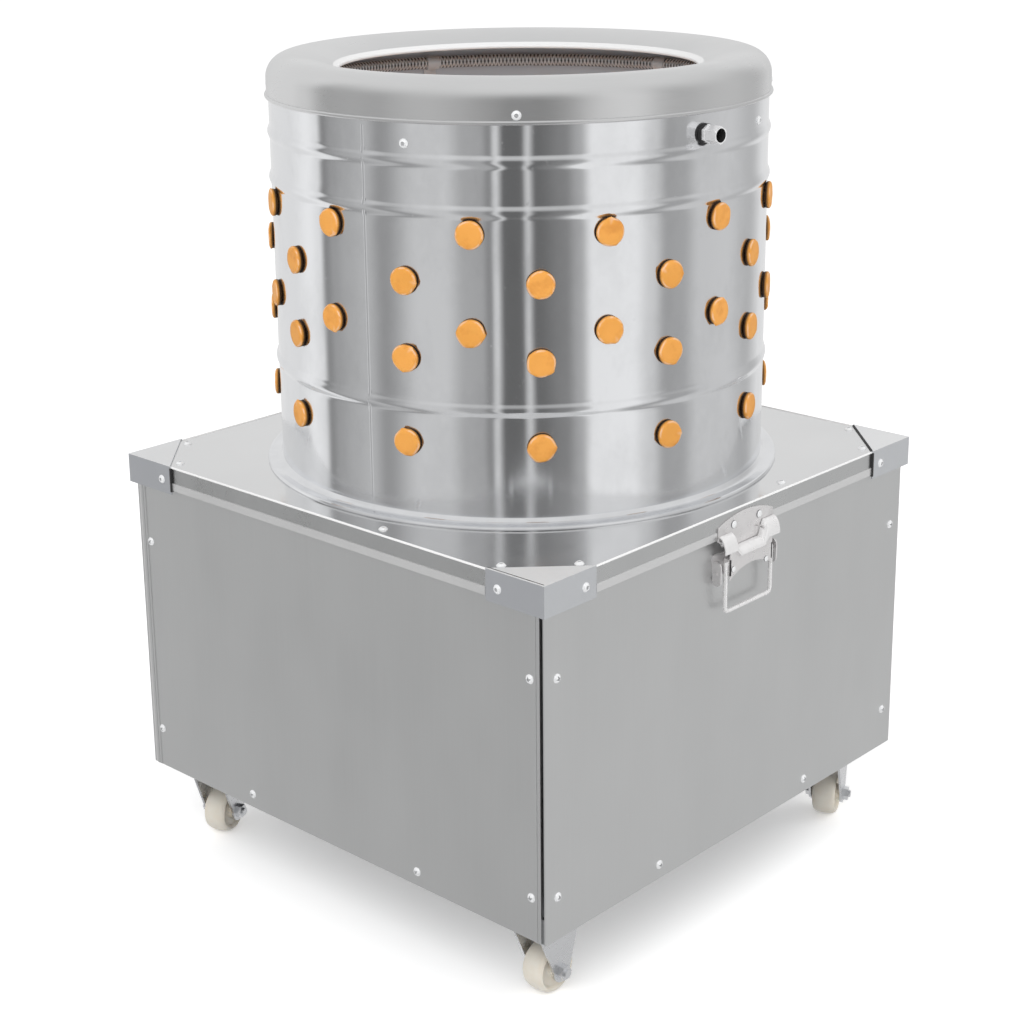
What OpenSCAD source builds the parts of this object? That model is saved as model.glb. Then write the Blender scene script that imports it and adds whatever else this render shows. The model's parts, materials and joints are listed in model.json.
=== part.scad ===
// Drum-type poultry plucker: a square steel cabinet on casters, a tilting lid that
// carries the finger drum, and a turning feather plate driven by a motor and V-belt.
// The origin is on the floor, under the axis of the drum. +Z is up, and -Y is the
// face that carries the draw latch.

/* [Cabinet] */
// Outer side of the square cabinet, over the panels
cabinet_side = 572; // [560:1:620]
// Height of the cabinet, from the caster plates to the top of the lid
cabinet_h = 351; // [346:1:380]
// Thickness of the side panels
panel_t = 1.5; // [1:0.1:2.5]
// Side of the square corner posts
post_w = 25; // [22:0.5:30]
// Wall of the corner posts
post_wall = 2; // [1.5:0.1:3]
// Leg of the angle rails
rail_w = 25; // [22:0.5:30]
// Thickness of the angle rails
rail_t = 3; // [2:0.1:4]
// Width of the dark joint beside each corner post
corner_gap = 3.5; // [2.5:0.1:5]

/* [Lid] */
// How far the lid's lip stands out beyond the side panels
lid_reach = 4; // [3.5:0.5:6]
// Thickness of the lid's sheet
lid_t = 2; // [1.5:0.1:3]
// Depth of the lid's turned-down lip
lip_h = 24.5; // [20:0.5:30]
// Height of the folded hem on the lip
hem_h = 8; // [5:0.5:10]
// Thickness of the folded hem, outside the lip
hem_t = 1; // [0.5:0.1:1.5]
// Length of each side of a corner brace
brace_leg = 68; // [55:1:80]
// Depth of a corner brace's skirt
brace_h = 29; // [25:0.5:34]
// Thickness of the corner braces
brace_t = 1.5; // [1:0.1:2]
// Width of the stiffening frame under the lid
stiffener_w = 22; // [16:1:26]
// Thickness of the stiffening frame
stiffener_t = 4; // [3:0.5:6]

/* [Drum] */
// Outer diameter of the drum
drum_d = 500; // [460:1:510]
// Wall of the drum
drum_t = 1.5; // [1:0.1:2.5]
// Height of the drum above the lid
drum_h = 396; // [385:1:430]
// How far the drum hangs below the top of the lid
drum_tail = 31; // [26:1:34]
// Width of the welded foot ring
foot_w = 15.5; // [10:0.5:18]
// Thickness of the foot ring
foot_t = 2; // [1.5:0.1:3]
// Height of the low bead above the lid
bead_low = 111; // [100:1:120]
// Height of the middle bead above the lid
bead_mid = 295; // [292:1:305]
// Height of the top bead above the lid
bead_top = 340.5; // [335:0.5:342]
// How far the beads stand out
bead_out = 2.2; // [1:0.1:3]
// Height of one bead
bead_w = 12; // [9:0.5:13]

/* [Rim cap] */
// Height of the cap's skirt edge above the lid
cap_foot = 374; // [370:1:378]
// Radius of the cap's outer shoulder
cap_shoulder = 22; // [18:0.5:26]
// Radius of the mouth
mouth_r = 181; // [170:1:190]
// How far the cap falls from its crest to the mouth
cap_fall = 13.4; // [8:0.2:18]
// Thickness of the cap's sheet
cap_t = 1.5; // [1:0.1:2]
// Radius of the bead along the skirt
cap_bead = 2; // [1.5:0.1:2.5]

/* [Fingers] */
// Fingers of one length stand in the wall and in the plate: head diameter
finger_head_d = 26.5; // [25:0.5:30]
// Thickness of a finger's head
finger_head_t = 7; // [5:0.5:10]
// Hole that a finger is pulled through
finger_hole_d = 22; // [20:0.5:24]
// Free length of a finger past the sheet
finger_len = 85; // [70:1:90]
// Diameter at a finger's tip
finger_tip_d = 17; // [14:0.5:19]
// Finger columns in each half shell of the drum, with three and with two fingers by turns
finger_columns = 12; // [8:1:12]
// Angle between neighbouring columns of one half shell
finger_step = 14.6; // [14:0.1:15]
// Angle of the first column around the drum
finger_phase = -162.5; // [-166:0.5:-160]
// Height of the lower finger in a two-finger column
pair_low = 184.5; // [175:0.5:188]
// Height of the upper finger in a two-finger column
pair_high = 275.5; // [265:0.5:277]
// Height of the lowest finger in a three-finger column
trio_low = 76; // [70:0.5:80]
// Height of the middle finger in a three-finger column
trio_mid = 157; // [145:0.5:160]
// Height of the highest finger in a three-finger column
trio_high = 230; // [220:0.5:235]

/* [Feather plate] */
// Radius of the feather plate
plate_r = 240; // [228:0.5:243]
// Thickness of the feather plate
plate_t = 3; // [2:0.1:5]
// Gap between the plate and the drum's lower edge
plate_gap = 3; // [2:0.1:6]
// Depth of the plate's turned-down rim
plate_rim = 15; // [10:0.5:18]
// Diameter of the main shaft
shaft_d = 25; // [20:1:30]
// Running clearance on a shaft's radius
shaft_fit = 0.05; // [0.02:0.01:0.1]
// Diameter of the plate's hub flange
hub_d = 110; // [95:1:112]
// Diameter of the hub's boss
boss_d = 50; // [44:1:54]

/* [Drive] */
// Outer diameter of the driven pulley
driven_d = 280; // [240:1:300]
// Outer diameter of the motor pulley
motor_pulley_d = 60; // [56:1:70]
// Width of both pulleys
pulley_w = 22; // [20:0.5:26]
// Height of the belt's middle above the floor
belt_z = 160; // [152:1:162]
// Distance from the main shaft to the motor's shaft
drive_centres = 190; // [186:1:196]
// Diameter of the motor's body
motor_d = 124; // [110:1:130]
// Length of the motor's body
motor_len = 111; // [100:1:114]
// Diameter of the motor's shaft
motor_shaft_d = 19; // [16:1:24]
// Height of the top of the cross beams above the floor
beam_top = 288; // [282:1:290]
// Distance of each cross beam from the drum's axis
beam_off = 70; // [64:1:76]

/* [Feather chute] */
// Slope of the chute's floor, in degrees
chute_slope = 8; // [5:0.5:9]
// Height of the chute's floor under the drum's axis
chute_z = 340; // [338:1:344]
// Width of the outlet in the rear panel
outlet_w = 300; // [240:1:320]
// Height of the outlet
outlet_h = 56; // [45:1:60]

/* [Casters] */
// Height from the floor to the top of the caster plates
caster_h = 88; // [84:1:100]
// Diameter of the wheels
wheel_d = 50; // [44:1:54]
// Width of the wheels
wheel_w = 25; // [20:0.5:27]
// Distance of each swivel axis from the drum's axis, along X and along Y
caster_off = 238; // [225:1:240]
// Trail of the wheel behind its swivel axis
caster_trail = 8; // [5:0.5:12]

/* [Latch] */
// Width of the strike plate
strike_w = 88; // [80:1:96]
// Width of the latch lever
lever_w = 68; // [60:1:74]
// Length of the pull ring, from its pivots to its grip
ring_len = 49; // [40:1:60]
// Wire diameter of the pull ring
ring_wire = 4; // [3:0.1:5]

/* [Water] */
// Angle of the water inlet around the drum
inlet_angle = -94.6; // [-100:0.1:-90]
// Height of the water inlet above the lid
inlet_z = 355.5; // [354:0.5:358]
// How far the inlet stands out from the drum
inlet_len = 20; // [18:0.5:40]
// Bore of the inlet
inlet_bore = 8; // [6:0.5:9]
// Outer diameter of the spray hose
hose_d = 13; // [10:0.5:14]
// Bore of the spray hose
hose_bore = 8; // [6:0.5:9]
// Height of the spray hose above the lid
hose_z = 378; // [374:0.5:380]

/* [Controls] */
// Distance of the switch box from the middle of the rear panel
switch_x = 180; // [150:1:200]
// Height of the middle of the switch box
switch_z = 220; // [215:1:228]

/* [Hidden] */
$fn = 64;

// Small shared clearances and overrun of cuts
gap = 0.3;
cut = 1;
tiny = 0.05;

// Heights
lid_top = caster_h + cabinet_h;
lid_under = lid_top - lid_t;
rail_top = lid_under - stiffener_t - gap;
panel_top = rail_top - 2;
drum_r = drum_d / 2;
drum_in = drum_r - drum_t;
drum_foot = lid_top - drum_tail;
plate_top = drum_foot - plate_gap;

// Half sizes
half = cabinet_side / 2;
frame_half = half - panel_t;
lid_side = cabinet_side + 2 * lid_reach;
lid_half = lid_side / 2;
brace_half = lid_half + brace_t;
flank_w = 2 * frame_half - 2 * corner_gap;

// Panel screws: distance from the middle, and heights
screw_edge = half - 17;
screw_high = lid_top - 92.5;
screw_low = caster_h + 43.5;
screw_foot = caster_h + 15;
screw_foot_x = 121;
screw_d = 4;
screw_head_d = 9;
screw_head_t = 2.4;
screw_hole_d = screw_d + 0.4;

// Drive heights and parts
pulley_bottom = belt_z - pulley_w / 2;
mount_plate_t = 6;
mount_under = belt_z + 23;
mount_top = mount_under + mount_plate_t;
mount_half = 95;
mount_bolt_x = 0.7 * mount_half;
mount_front = -frame_half + gap;
bearing_plate_t = 6;
beam_h = 25;
beam_wall = 2.5;
mount_back = -beam_off - beam_h / 2;
bearing_side = 96;
bearing_flange_t = 12;
bearing_h = 30;
bearing_d = 62;
bearing_bolt = 36;
bearing_top_z = beam_top + bearing_plate_t;
bearing_low_z = beam_top - beam_h - bearing_plate_t;
shaft_bottom = pulley_bottom - 6;
groove_depth = 12;
groove_top_w = 13;
groove_low_w = 7;
belt_top_w = groove_top_w - 1.2;
belt_h = 9;
belt_out = 1;
motor_flange_t = 10;
motor_flange_d = motor_d + 26;
motor_base = mount_top + motor_flange_t;
motor_top = motor_base + motor_len;
fan_h = 30;
motor_bolt_r = motor_d / 2 + 6;
mount_bolt_d = 8;
term_w = 60;
term_h = 56;
term_depth = 31;
term_cover_t = 3;
term_low = 30;
bearing_bolt_d = 10;

// Feather plate
finger_rings = [[72, 8], [120, 11], [168, 15], [plate_r - 26, 18]];
hub_flange_t = 10;
hub_top = plate_top - plate_t;
boss_h = 40;
stud_d = 16;

// Rim cap
cap_skirt_r = drum_r + gap + cap_t;
cap_crown_r = cap_skirt_r - cap_shoulder;
cap_crest = drum_h + cap_t + gap + cap_shoulder
    - sqrt(pow(cap_shoulder - cap_t, 2) - pow(drum_r - cap_crown_r, 2)) - cap_t;
cap_reach = cap_crown_r - mouth_r;
cap_big_r = (cap_reach * cap_reach + cap_fall * cap_fall) / (2 * cap_fall);
cap_axis_z = cap_crest - cap_shoulder;
rim_screw_z = lid_top + cap_foot + 2 * cap_bead + screw_head_d / 2 + gap;
rim_screw_phase = -138;
clip_angles = [-162, -71, 2, 66, 127];
clip_w = 14;
clip_t = 1.2;
clip_face = sqrt(drum_in * drum_in - clip_w * clip_w / 4) - tiny;
hose_r = clip_face - clip_t - hose_d / 2;
clip_screw_z = lid_top + inlet_z;

// Water inlet and hose
inlet_thread_d = 13;
inlet_washer_t = 3.5;
inlet_hex = 18.5;
inlet_hex_h = 3;
inlet_socket_d = 13;
inlet_socket = 10;
elbow_angle = 4;
hose_from = inlet_angle + elbow_angle;
hose_sweep = 344;
hose_joint = hose_r * sin(elbow_angle) - 1;

// Casters: front, left, right and back, as the photographed corner sees them
caster_x = [-caster_off, -caster_off, caster_off, caster_off];
caster_y = [-caster_off, caster_off, -caster_off, caster_off];
caster_turn = [0, 20, 23, -15];
caster_plate_w = 62;
caster_plate_t = 2.5;
swivel_d = 46;
swivel_t = 6;
swivel_z = caster_h - caster_plate_t - swivel_t;
kingpin_d = 10;
fork_gap = wheel_w + 2 * 3.5;
fork_t = 2.5;
fork_plate_t = 3;
axle_d = 8;
wheel_hub_d = 18;
caster_bolt_off = 23;
caster_bolt_d = 6;

// Hinges of the lid, on the rear face
hinge_y = lid_half + 7;
hinge_z = lid_top - lip_h - 2.5;
hinge_x = half - 106;
hinge_w = 60;
knuckle_r = 6;
hinge_pin_d = 6;
leaf_t = 3;
leaf_h = 55;
knuckle_w = hinge_w / 3;
leaf_screw_z = [hinge_z - 20, hinge_z - 42];
upper_screw_z = hinge_z + 18;

// Latch, on the front face: y of its planes and heights
latch_face = -half;
strike_face = -lid_half;
strike_t = 2;
lever_y = latch_face - 13;
lever_t = 2;
lever_pin_y = latch_face - 5.5;
lever_pin_z = lid_top - 58;
lever_pin_d = 3;
lever_low_z = lid_top - 66;
ring_pivot_y = latch_face - 9.5;
ring_pivot_z = lid_top - 49;
claw_y = lever_y - 0.5;
claw_z = lid_top - 25;
claw_out = 6.5;
claw_in = 4.2;
claw_wall = 5;
claw_w = 22;
claw_x = strike_w / 2 - claw_w / 2;
strike_roll = 3.5;
tongue_z = lid_top - 36;
tongue_w = 38;
ring_half = lever_w / 2 + 2.5;
ear_t = 2;
ear_r = 3.6;
base_ear_r = 5.2;
base_ear_z = 7;
base_w = lever_w + 24;
base_t = 1.5;
base_low = lid_top - 57;
base_high = lid_top - 40;
base_rivet_x = 20;
base_rivet_z = lid_top - 48.5;
strike_rivet_x = 20.5;
strike_rivet_z = lid_top - 14;

// Controls on the rear face
switch_w = 80;
switch_h = 120;
switch_depth = 48;
bezel = 6;
bezel_t = 3;
button_d = 22;
button_len = 9;
button_travel = 3;
button_gap = 44;
gland_z = switch_z - 82;
gland_d = 20;
gland_bore = 10;
gland_nut = 30;
gland_out = 15;

// Chute
chute_t = 1.5;
chute_wall = 24;
chute_front = -frame_half + rail_w + 4.5;
chute_half = 250;
hanger_w = 30;
hanger_t = 3;
hanger_y = [-150, beam_off - beam_h / 2 - hanger_w / 2 - 12];
chute_back = 100;
chute_collar_r = boss_d / 2 + 7;
chute_collar_h = 24;
chute_tip = half + 6;
chute_neck = half - 14;
outlet_z = chute_z - chute_tip * tan(chute_slope) - 3;

// Colours
steel = [0.78, 0.79, 0.80];
satin = [0.68, 0.69, 0.69];
zinc = [0.80, 0.82, 0.84];
dark = [0.25, 0.26, 0.28];
finger_orange = [0.94, 0.70, 0.35];
black_rubber = [0.10, 0.10, 0.10];
wheel_cream = [0.90, 0.88, 0.84];
motor_grey = [0.45, 0.50, 0.54];

// Places a child at each of the four turns about the drum's axis
module four_turns() {
    for (turn = [0:90:270]) rotate([0, 0, turn]) children();
}

// Plain washer-shaped ring
module ring(outer_r, inner_r, height) {
    difference() {
        cylinder(r = outer_r, h = height);
        translate([0, 0, -cut]) cylinder(r = inner_r, h = height + 2 * cut);
    }
}

// Box centred on X and Y, standing on its lower face
module block(size_x, size_y, size_z) {
    translate([-size_x / 2, -size_y / 2, 0]) cube([size_x, size_y, size_z]);
}

// Pan head screw along +Z: the head stands on z = 0 and the shank goes down
module pan_screw(shank_d, shank_len, head_d, head_t) {
    difference() {
        union() {
            cylinder(d = head_d, h = head_t);
            translate([0, 0, -shank_len]) cylinder(d = shank_d, h = shank_len + tiny);
        }
        for (turn = [0, 90]) rotate([0, 0, turn]) translate([0, 0, head_t - 1]) block(head_d * 0.55, 1.2, 2);
    }
}

// Hexagon bolt along +Z, with its head on z = 0
module hex_bolt(shank_d, shank_len, across, head_t) {
    cylinder(d = across / cos(30), h = head_t, $fn = 6);
    translate([0, 0, -shank_len]) cylinder(d = shank_d, h = shank_len + tiny);
}

// Angle rail along X at the -Y side: the upright leg lies against the panel
module angle_rail(length, top_z, leg_up) {
    translate([-length / 2, -frame_half, top_z - rail_w]) cube([length, rail_t, rail_w]);
    flat_z = leg_up ? top_z - rail_t : top_z - rail_w;
    translate([-length / 2, -frame_half, flat_z]) cube([length, rail_w, rail_t]);
}

// Corner post: a square tube with its outer corner cut back for the dark joint
module corner_post() {
    post_h = rail_top - caster_h;
    difference() {
        translate([-frame_half, -frame_half, caster_h]) cube([post_w, post_w, post_h]);
        translate([-frame_half + post_wall, -frame_half + post_wall, caster_h - cut])
            cube([post_w - 2 * post_wall, post_w - 2 * post_wall, post_h + 2 * cut]);
        for (notch = [[post_w / 3, corner_gap], [corner_gap, post_w / 3]])
            translate([-frame_half - cut, -frame_half - cut, caster_h + rail_w])
            cube([notch[0] + cut, notch[1] + cut, post_h - 2 * rail_w]);
    }
}

// Holes for the screws of one side, drilled from the panel inwards
module side_screw_holes(depth) {
    for (side = [-1, 1]) {
        for (z = [screw_high, screw_low]) side_hole(side * screw_edge, z, depth);
        side_hole(side * screw_foot_x, screw_foot, depth);
    }
}

module side_hole(x, z, depth) {
    translate([x, -half - cut, z]) rotate([-90, 0, 0]) cylinder(d = screw_hole_d, h = depth + cut, $fn = 32);
}

module base_frame() {
    color(satin) difference() {
        union() {
            four_turns() corner_post();
            rail_len = 2 * frame_half - 2 * post_w + 2 * tiny;
            four_turns() angle_rail(rail_len, rail_top, true);
            four_turns() angle_rail(rail_len, caster_h + rail_w, false);
            four_turns() corner_gusset();
            for (turn = [90, 270]) rotate([0, 0, turn]) angle_rail(rail_len, beam_top - beam_h, true);
            angle_rail(rail_len, mount_under, true);
        }
        four_turns() side_screw_holes(panel_t + post_wall + rail_t + cut);
        for (i = [0:3]) translate([caster_x[i], caster_y[i], caster_h]) caster_holes();
        motor_mount_holes(mount_under - rail_t - cut, rail_t + 2 * cut);
    }
}

// Flat corner plate in the bottom of the frame, which the caster plate meets
module corner_gusset() {
    size = caster_plate_w + 20;
    translate([-frame_half + post_w - tiny, -frame_half + tiny, caster_h])
        cube([size - post_w, size, rail_t]);
    translate([-frame_half + tiny, -frame_half + post_w - tiny, caster_h])
        cube([post_w, size - post_w, rail_t]);
}

module caster_holes() {
    for (sx = [-1, 1]) for (sy = [-1, 1])
        translate([sx * caster_bolt_off, sy * caster_bolt_off, -10])
            cylinder(d = caster_bolt_d + 0.4, h = 20, $fn = 32);
}

// One flat panel on the -Y side
module side_panel(width) {
    difference() {
        translate([-width / 2, -half, caster_h]) cube([width, panel_t, panel_top - caster_h]);
        side_screw_holes(panel_t + cut);
    }
}

module front_panel() {
    color(satin) difference() {
        side_panel(cabinet_side);
        for (side = [-1, 1]) translate([side * base_rivet_x, -half - cut, base_rivet_z])
            rotate([-90, 0, 0]) cylinder(d = screw_hole_d, h = panel_t + 2 * cut, $fn = 32);
    }
}

// Side panel that stops short of the corners, with two raised folds along each end
module flank_panel() {
    folds = [[0, 3.6], [4.4, 2.8]];
    side_panel(flank_w);
    for (side = [-1, 1]) for (fold = folds)
        translate([side * (flank_w / 2 - fold[0] - fold[1] / 2), -half + tiny, (caster_h + panel_top) / 2])
        rotate([90, 0, 0]) translate([-fold[1] / 2, -(panel_top - caster_h) / 2, 0])
        cube([fold[1], panel_top - caster_h, 0.5 + tiny]);
}

module left_panel() {
    color(satin) rotate([0, 0, -90]) flank_panel();
}

module right_panel() {
    color(satin) rotate([0, 0, 90]) flank_panel();
}

module rear_panel() {
    color(satin) difference() {
        rotate([0, 0, 180]) side_panel(cabinet_side);
        translate([-outlet_w / 2, frame_half - cut, outlet_z]) cube([outlet_w, panel_t + 2 * cut, outlet_h]);
        translate([switch_x - switch_w / 2 - gap, frame_half - cut, switch_z - switch_h / 2 - gap])
            cube([switch_w + 2 * gap, panel_t + 2 * cut, switch_h + 2 * gap]);
        translate([switch_x, half + cut, gland_z]) rotate([90, 0, 0])
            cylinder(d = gland_d + 0.4, h = panel_t + 2 * cut);
        for (side = [-1, 1]) for (dx = [-1, 1]) for (z = leaf_screw_z)
            translate([side * hinge_x + dx * hinge_w / 3, half + cut, z]) rotate([90, 0, 0])
                cylinder(d = screw_hole_d, h = panel_t + 2 * cut, $fn = 32);
    }
}

module panel_screws() {
    color(zinc) four_turns() {
        for (side = [-1, 1]) {
            for (z = [screw_high, screw_low]) side_screw(side * screw_edge, z);
            side_screw(side * screw_foot_x, screw_foot);
        }
    }
}

module side_screw(x, z) {
    translate([x, -half, z]) rotate([90, 0, 0])
        pan_screw(screw_d, panel_t + post_wall + rail_t, screw_head_d, screw_head_t);
}

// Two tube beams across the frame, with a bearing plate welded above and below them
module cross_beams() {
    beam_len = 2 * frame_half - 2 * rail_t - 2 * gap;
    color(dark) difference() {
        union() {
            for (side = [-1, 1]) translate([0, side * beam_off, beam_top - beam_h]) difference() {
                block(beam_len, beam_h, beam_h);
                translate([0, 0, beam_wall])
                    block(beam_len + 2 * cut, beam_h - 2 * beam_wall, beam_h - 2 * beam_wall);
            }
            translate([0, 0, beam_top]) bearing_plate();
            translate([0, 0, bearing_low_z]) bearing_plate();
        }
        for (sx = [-1, 1]) translate([sx * mount_bolt_x, -beam_off - beam_h / 2 - cut, beam_top - beam_h / 2])
            rotate([-90, 0, 0]) cylinder(d = mount_bolt_d + 0.4, h = beam_wall + 2 * cut, $fn = 32);
    }
}

module bearing_plate() {
    difference() {
        block(bearing_side + 30, 2 * beam_off + beam_h, bearing_plate_t);
        translate([0, 0, -cut]) cylinder(d = shaft_d + 14, h = bearing_plate_t + 2 * cut);
        for (turn = [45:90:315]) rotate([0, 0, turn]) translate([bearing_bolt * sqrt(2), 0, -cut])
            cylinder(d = bearing_bolt_d + 0.4, h = bearing_plate_t + 2 * cut, $fn = 32);
    }
}

// Square flange bearing, standing on z = 0
module flange_bearing() {
    difference() {
        union() {
            block(bearing_side, bearing_side, bearing_flange_t);
            cylinder(d = bearing_d, h = bearing_h);
        }
        translate([0, 0, -cut]) cylinder(r = shaft_d / 2 + shaft_fit, h = bearing_h + 2 * cut);
        for (turn = [45:90:315]) rotate([0, 0, turn]) translate([bearing_bolt * sqrt(2), 0, -cut])
            cylinder(d = bearing_bolt_d + 0.4, h = bearing_flange_t + 2 * cut, $fn = 32);
    }
}

module upper_bearing() {
    color(motor_grey) translate([0, 0, bearing_top_z]) flange_bearing();
}

module lower_bearing() {
    color(motor_grey) translate([0, 0, bearing_low_z]) mirror([0, 0, 1]) flange_bearing();
}

// Bolts of the bearings and of the motor, each with its nut
module mount_bolts() {
    grip = bearing_flange_t + bearing_plate_t;
    color(zinc) {
        for (turn = [45:90:315]) rotate([0, 0, turn]) translate([bearing_bolt * sqrt(2), 0, 0]) {
            translate([0, 0, bearing_top_z + bearing_flange_t]) hex_bolt(bearing_bolt_d, grip + 5, 15, 5);
            translate([0, 0, bearing_low_z - bearing_flange_t]) mirror([0, 0, 1])
                hex_bolt(bearing_bolt_d, grip + 5, 15, 5);
        }
        translate([0, -drive_centres, mount_under]) mirror([0, 0, 1]) for (turn = [45:90:315])
            rotate([0, 0, turn])
            translate([motor_bolt_r, 0, 0]) hex_bolt(mount_bolt_d, mount_plate_t + motor_flange_t, 11, 4);
        for (sx = [-1, 1])
            translate([sx * mount_bolt_x, -beam_off - beam_h / 2 - mount_plate_t, beam_top - beam_h / 2])
            rotate([90, 0, 0]) hex_bolt(mount_bolt_d, mount_plate_t + beam_wall + 4, 12, 5);
        for (sx = [-1, 1]) translate([sx * mount_bolt_x, mount_front + 12, mount_top])
            hex_bolt(mount_bolt_d, mount_plate_t + rail_t + 4, 12, 5);
    }
}

// Bent plate that carries the motor between the front rail and the first cross beam
module motor_mount() {
    color(dark) difference() {
        union() {
            translate([-mount_half, mount_front, mount_under])
                cube([2 * mount_half, mount_back - mount_front, mount_plate_t]);
            translate([-mount_half, mount_back - mount_plate_t, mount_under])
                cube([2 * mount_half, mount_plate_t, beam_top - mount_under]);
        }
        translate([0, -drive_centres, mount_under - cut]) cylinder(d = 60, h = mount_plate_t + 2 * cut);
        motor_mount_holes(mount_under - cut, mount_plate_t + 2 * cut);
        for (turn = [45:90:315]) translate([0, -drive_centres, mount_under - cut]) rotate([0, 0, turn])
            translate([motor_bolt_r, 0, 0])
                cylinder(d = mount_bolt_d + 0.4, h = mount_plate_t + 2 * cut, $fn = 32);
        for (sx = [-1, 1]) translate([sx * mount_bolt_x, mount_back + cut, beam_top - beam_h / 2])
            rotate([90, 0, 0])
            cylinder(d = mount_bolt_d + 0.4, h = mount_plate_t + 2 * cut, $fn = 32);
    }
}

module motor_mount_holes(z, depth) {
    for (sx = [-1, 1]) translate([sx * mount_bolt_x, mount_front + 12, z])
        cylinder(d = mount_bolt_d + 0.4, h = depth, $fn = 32);
}

// Finned motor body on its face flange, with the bore that the shaft turns in
module motor_body() {
    fins = 20;
    color(motor_grey) translate([0, -drive_centres, 0]) difference() {
        union() {
            translate([0, 0, mount_top]) cylinder(d = motor_flange_d, h = motor_flange_t);
            translate([0, 0, motor_base - tiny]) cylinder(d = motor_d - 12, h = motor_len + tiny);
            for (i = [0:fins - 1]) rotate([0, 0, i * 360 / fins])
                translate([motor_d / 2 - 10, -1.2, motor_base + 8])
                cube([10, 2.4, motor_len - 16]);
        }
        translate([0, 0, mount_top - cut]) cylinder(r = motor_shaft_d / 2 + shaft_fit, h = motor_len * 0.5);
        for (turn = [45:90:315]) rotate([0, 0, turn]) translate([motor_bolt_r, 0, mount_top - cut])
            cylinder(d = mount_bolt_d + 0.4, h = motor_flange_t + 2 * cut, $fn = 32);
    }
}

module motor_fan_cover() {
    color(dark) translate([0, -drive_centres, motor_top]) difference() {
        cylinder(d = motor_d - 8, h = fan_h);
        translate([0, 0, -cut]) cylinder(d = motor_d - 12, h = fan_h - 2 + cut);
        for (turn = [0:30:330]) rotate([0, 0, turn]) translate([34, 0, fan_h - 3]) block(26, 5, 6);
    }
}

module motor_terminal_box() {
    lid_edge = 1.5;
    color(dark) translate([motor_d / 2 + gap, -drive_centres - term_w / 2, motor_base + term_low]) {
        cube([term_depth, term_w, term_h]);
        translate([term_depth - tiny, -lid_edge, -lid_edge])
            cube([term_cover_t, term_w + 2 * lid_edge, term_h + 2 * lid_edge]);
    }
}

// V-groove profile, with its mouth at radius r and its middle at y = 0
module groove(r) {
    polygon([[r + cut, groove_top_w / 2 + 0.6], [r - groove_depth, groove_low_w / 2],
        [r - groove_depth, -groove_low_w / 2], [r + cut, -groove_top_w / 2 - 0.6]]);
}

// Grooved pulley on a hub, with a bore for its shaft
module v_pulley(outer_d, bore_d, hub_d, hub_h, web) {
    difference() {
        union() {
            rotate_extrude() difference() {
                translate([0, -pulley_w / 2]) square([outer_d / 2, pulley_w]);
                groove(outer_d / 2);
            }
            cylinder(d = hub_d, h = hub_h);
        }
        translate([0, 0, -pulley_w]) cylinder(r = bore_d / 2 + 0.02, h = hub_h + 2 * pulley_w);
        if (web > 0) for (side = [0, 1]) mirror([0, 0, side]) translate([0, 0, web / 2])
            ring(outer_d / 2 - groove_depth - 8, hub_d / 2, pulley_w);
    }
}

module driven_pulley() {
    color(motor_grey) translate([0, 0, belt_z]) v_pulley(driven_d, shaft_d, 54, 26, 8);
}

module motor_pulley() {
    color(motor_grey) translate([0, -drive_centres, belt_z])
        v_pulley(motor_pulley_d, motor_shaft_d, 30, pulley_w / 2, 0);
}

// Section of the belt, with its outer face just past radius r, drawn in by the given amount
module belt_section(r, inset) {
    top_half = belt_top_w / 2 - inset;
    low_half = top_half - (belt_top_w - groove_low_w) * belt_h / groove_depth / 2;
    outer = r + belt_out - inset;
    inner = r + belt_out - belt_h + inset;
    polygon([[outer, top_half], [inner, low_half], [inner, -low_half], [outer, -top_half]]);
}

// The belt wraps the two pulleys and runs straight between them
module drive_belt() {
    big = driven_d / 2;
    small = motor_pulley_d / 2;
    lean = asin((big - small) / drive_centres);
    run = sqrt(pow(drive_centres, 2) - pow(big - small, 2));
    joint = 1;
    color(black_rubber) translate([0, 0, belt_z]) {
        rotate([0, 0, -lean]) rotate_extrude(angle = 180 + 2 * lean) belt_section(big, 0);
        translate([0, -drive_centres, 0]) rotate([0, 0, 180 + lean])
            rotate_extrude(angle = 180 - 2 * lean) belt_section(small, 0);
        for (side = [0, 1]) mirror([side, 0, 0]) rotate([0, 0, -lean]) translate([0, joint, 0])
            rotate([90, 0, 0]) linear_extrude(run + 2 * joint) belt_section(big, 0.1);
    }
}

// Outline of the chute in plan, drawn in by the given amount
module chute_plan(inset, front, back) {
    neck = outlet_w / 2 - 2 - inset;
    polygon([[-chute_half + inset, front], [chute_half - inset, front], [chute_half - inset, chute_back],
        [neck, chute_neck], [neck, back], [-neck, back], [-neck, chute_neck],
        [-chute_half + inset, chute_back]]);
}

// Sloping tray that carries feathers and water out through the rear panel
module feather_chute() {
    tray_front = chute_front + chute_t;
    collar_low = chute_z - 4;
    color(steel) {
        difference() {
            union() {
                translate([0, 0, chute_z]) rotate([-chute_slope, 0, 0]) difference() {
                    linear_extrude(chute_wall) chute_plan(0, chute_front, chute_tip);
                    translate([0, 0, chute_t]) linear_extrude(chute_wall)
                        chute_plan(chute_t, tray_front, chute_tip + cut);
                }
                translate([0, 0, collar_low]) cylinder(r = chute_collar_r + chute_t, h = chute_collar_h);
            }
            translate([0, 0, collar_low - cut]) cylinder(r = chute_collar_r, h = chute_collar_h + 2 * cut);
        }
        for (side = [-1, 1]) for (y = hanger_y) translate([side * chute_half, y, beam_top - beam_h + gap])
            chute_leg(side, chute_z - y * tan(chute_slope) + chute_wall / 2 - beam_top + beam_h);
    }
}

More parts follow.
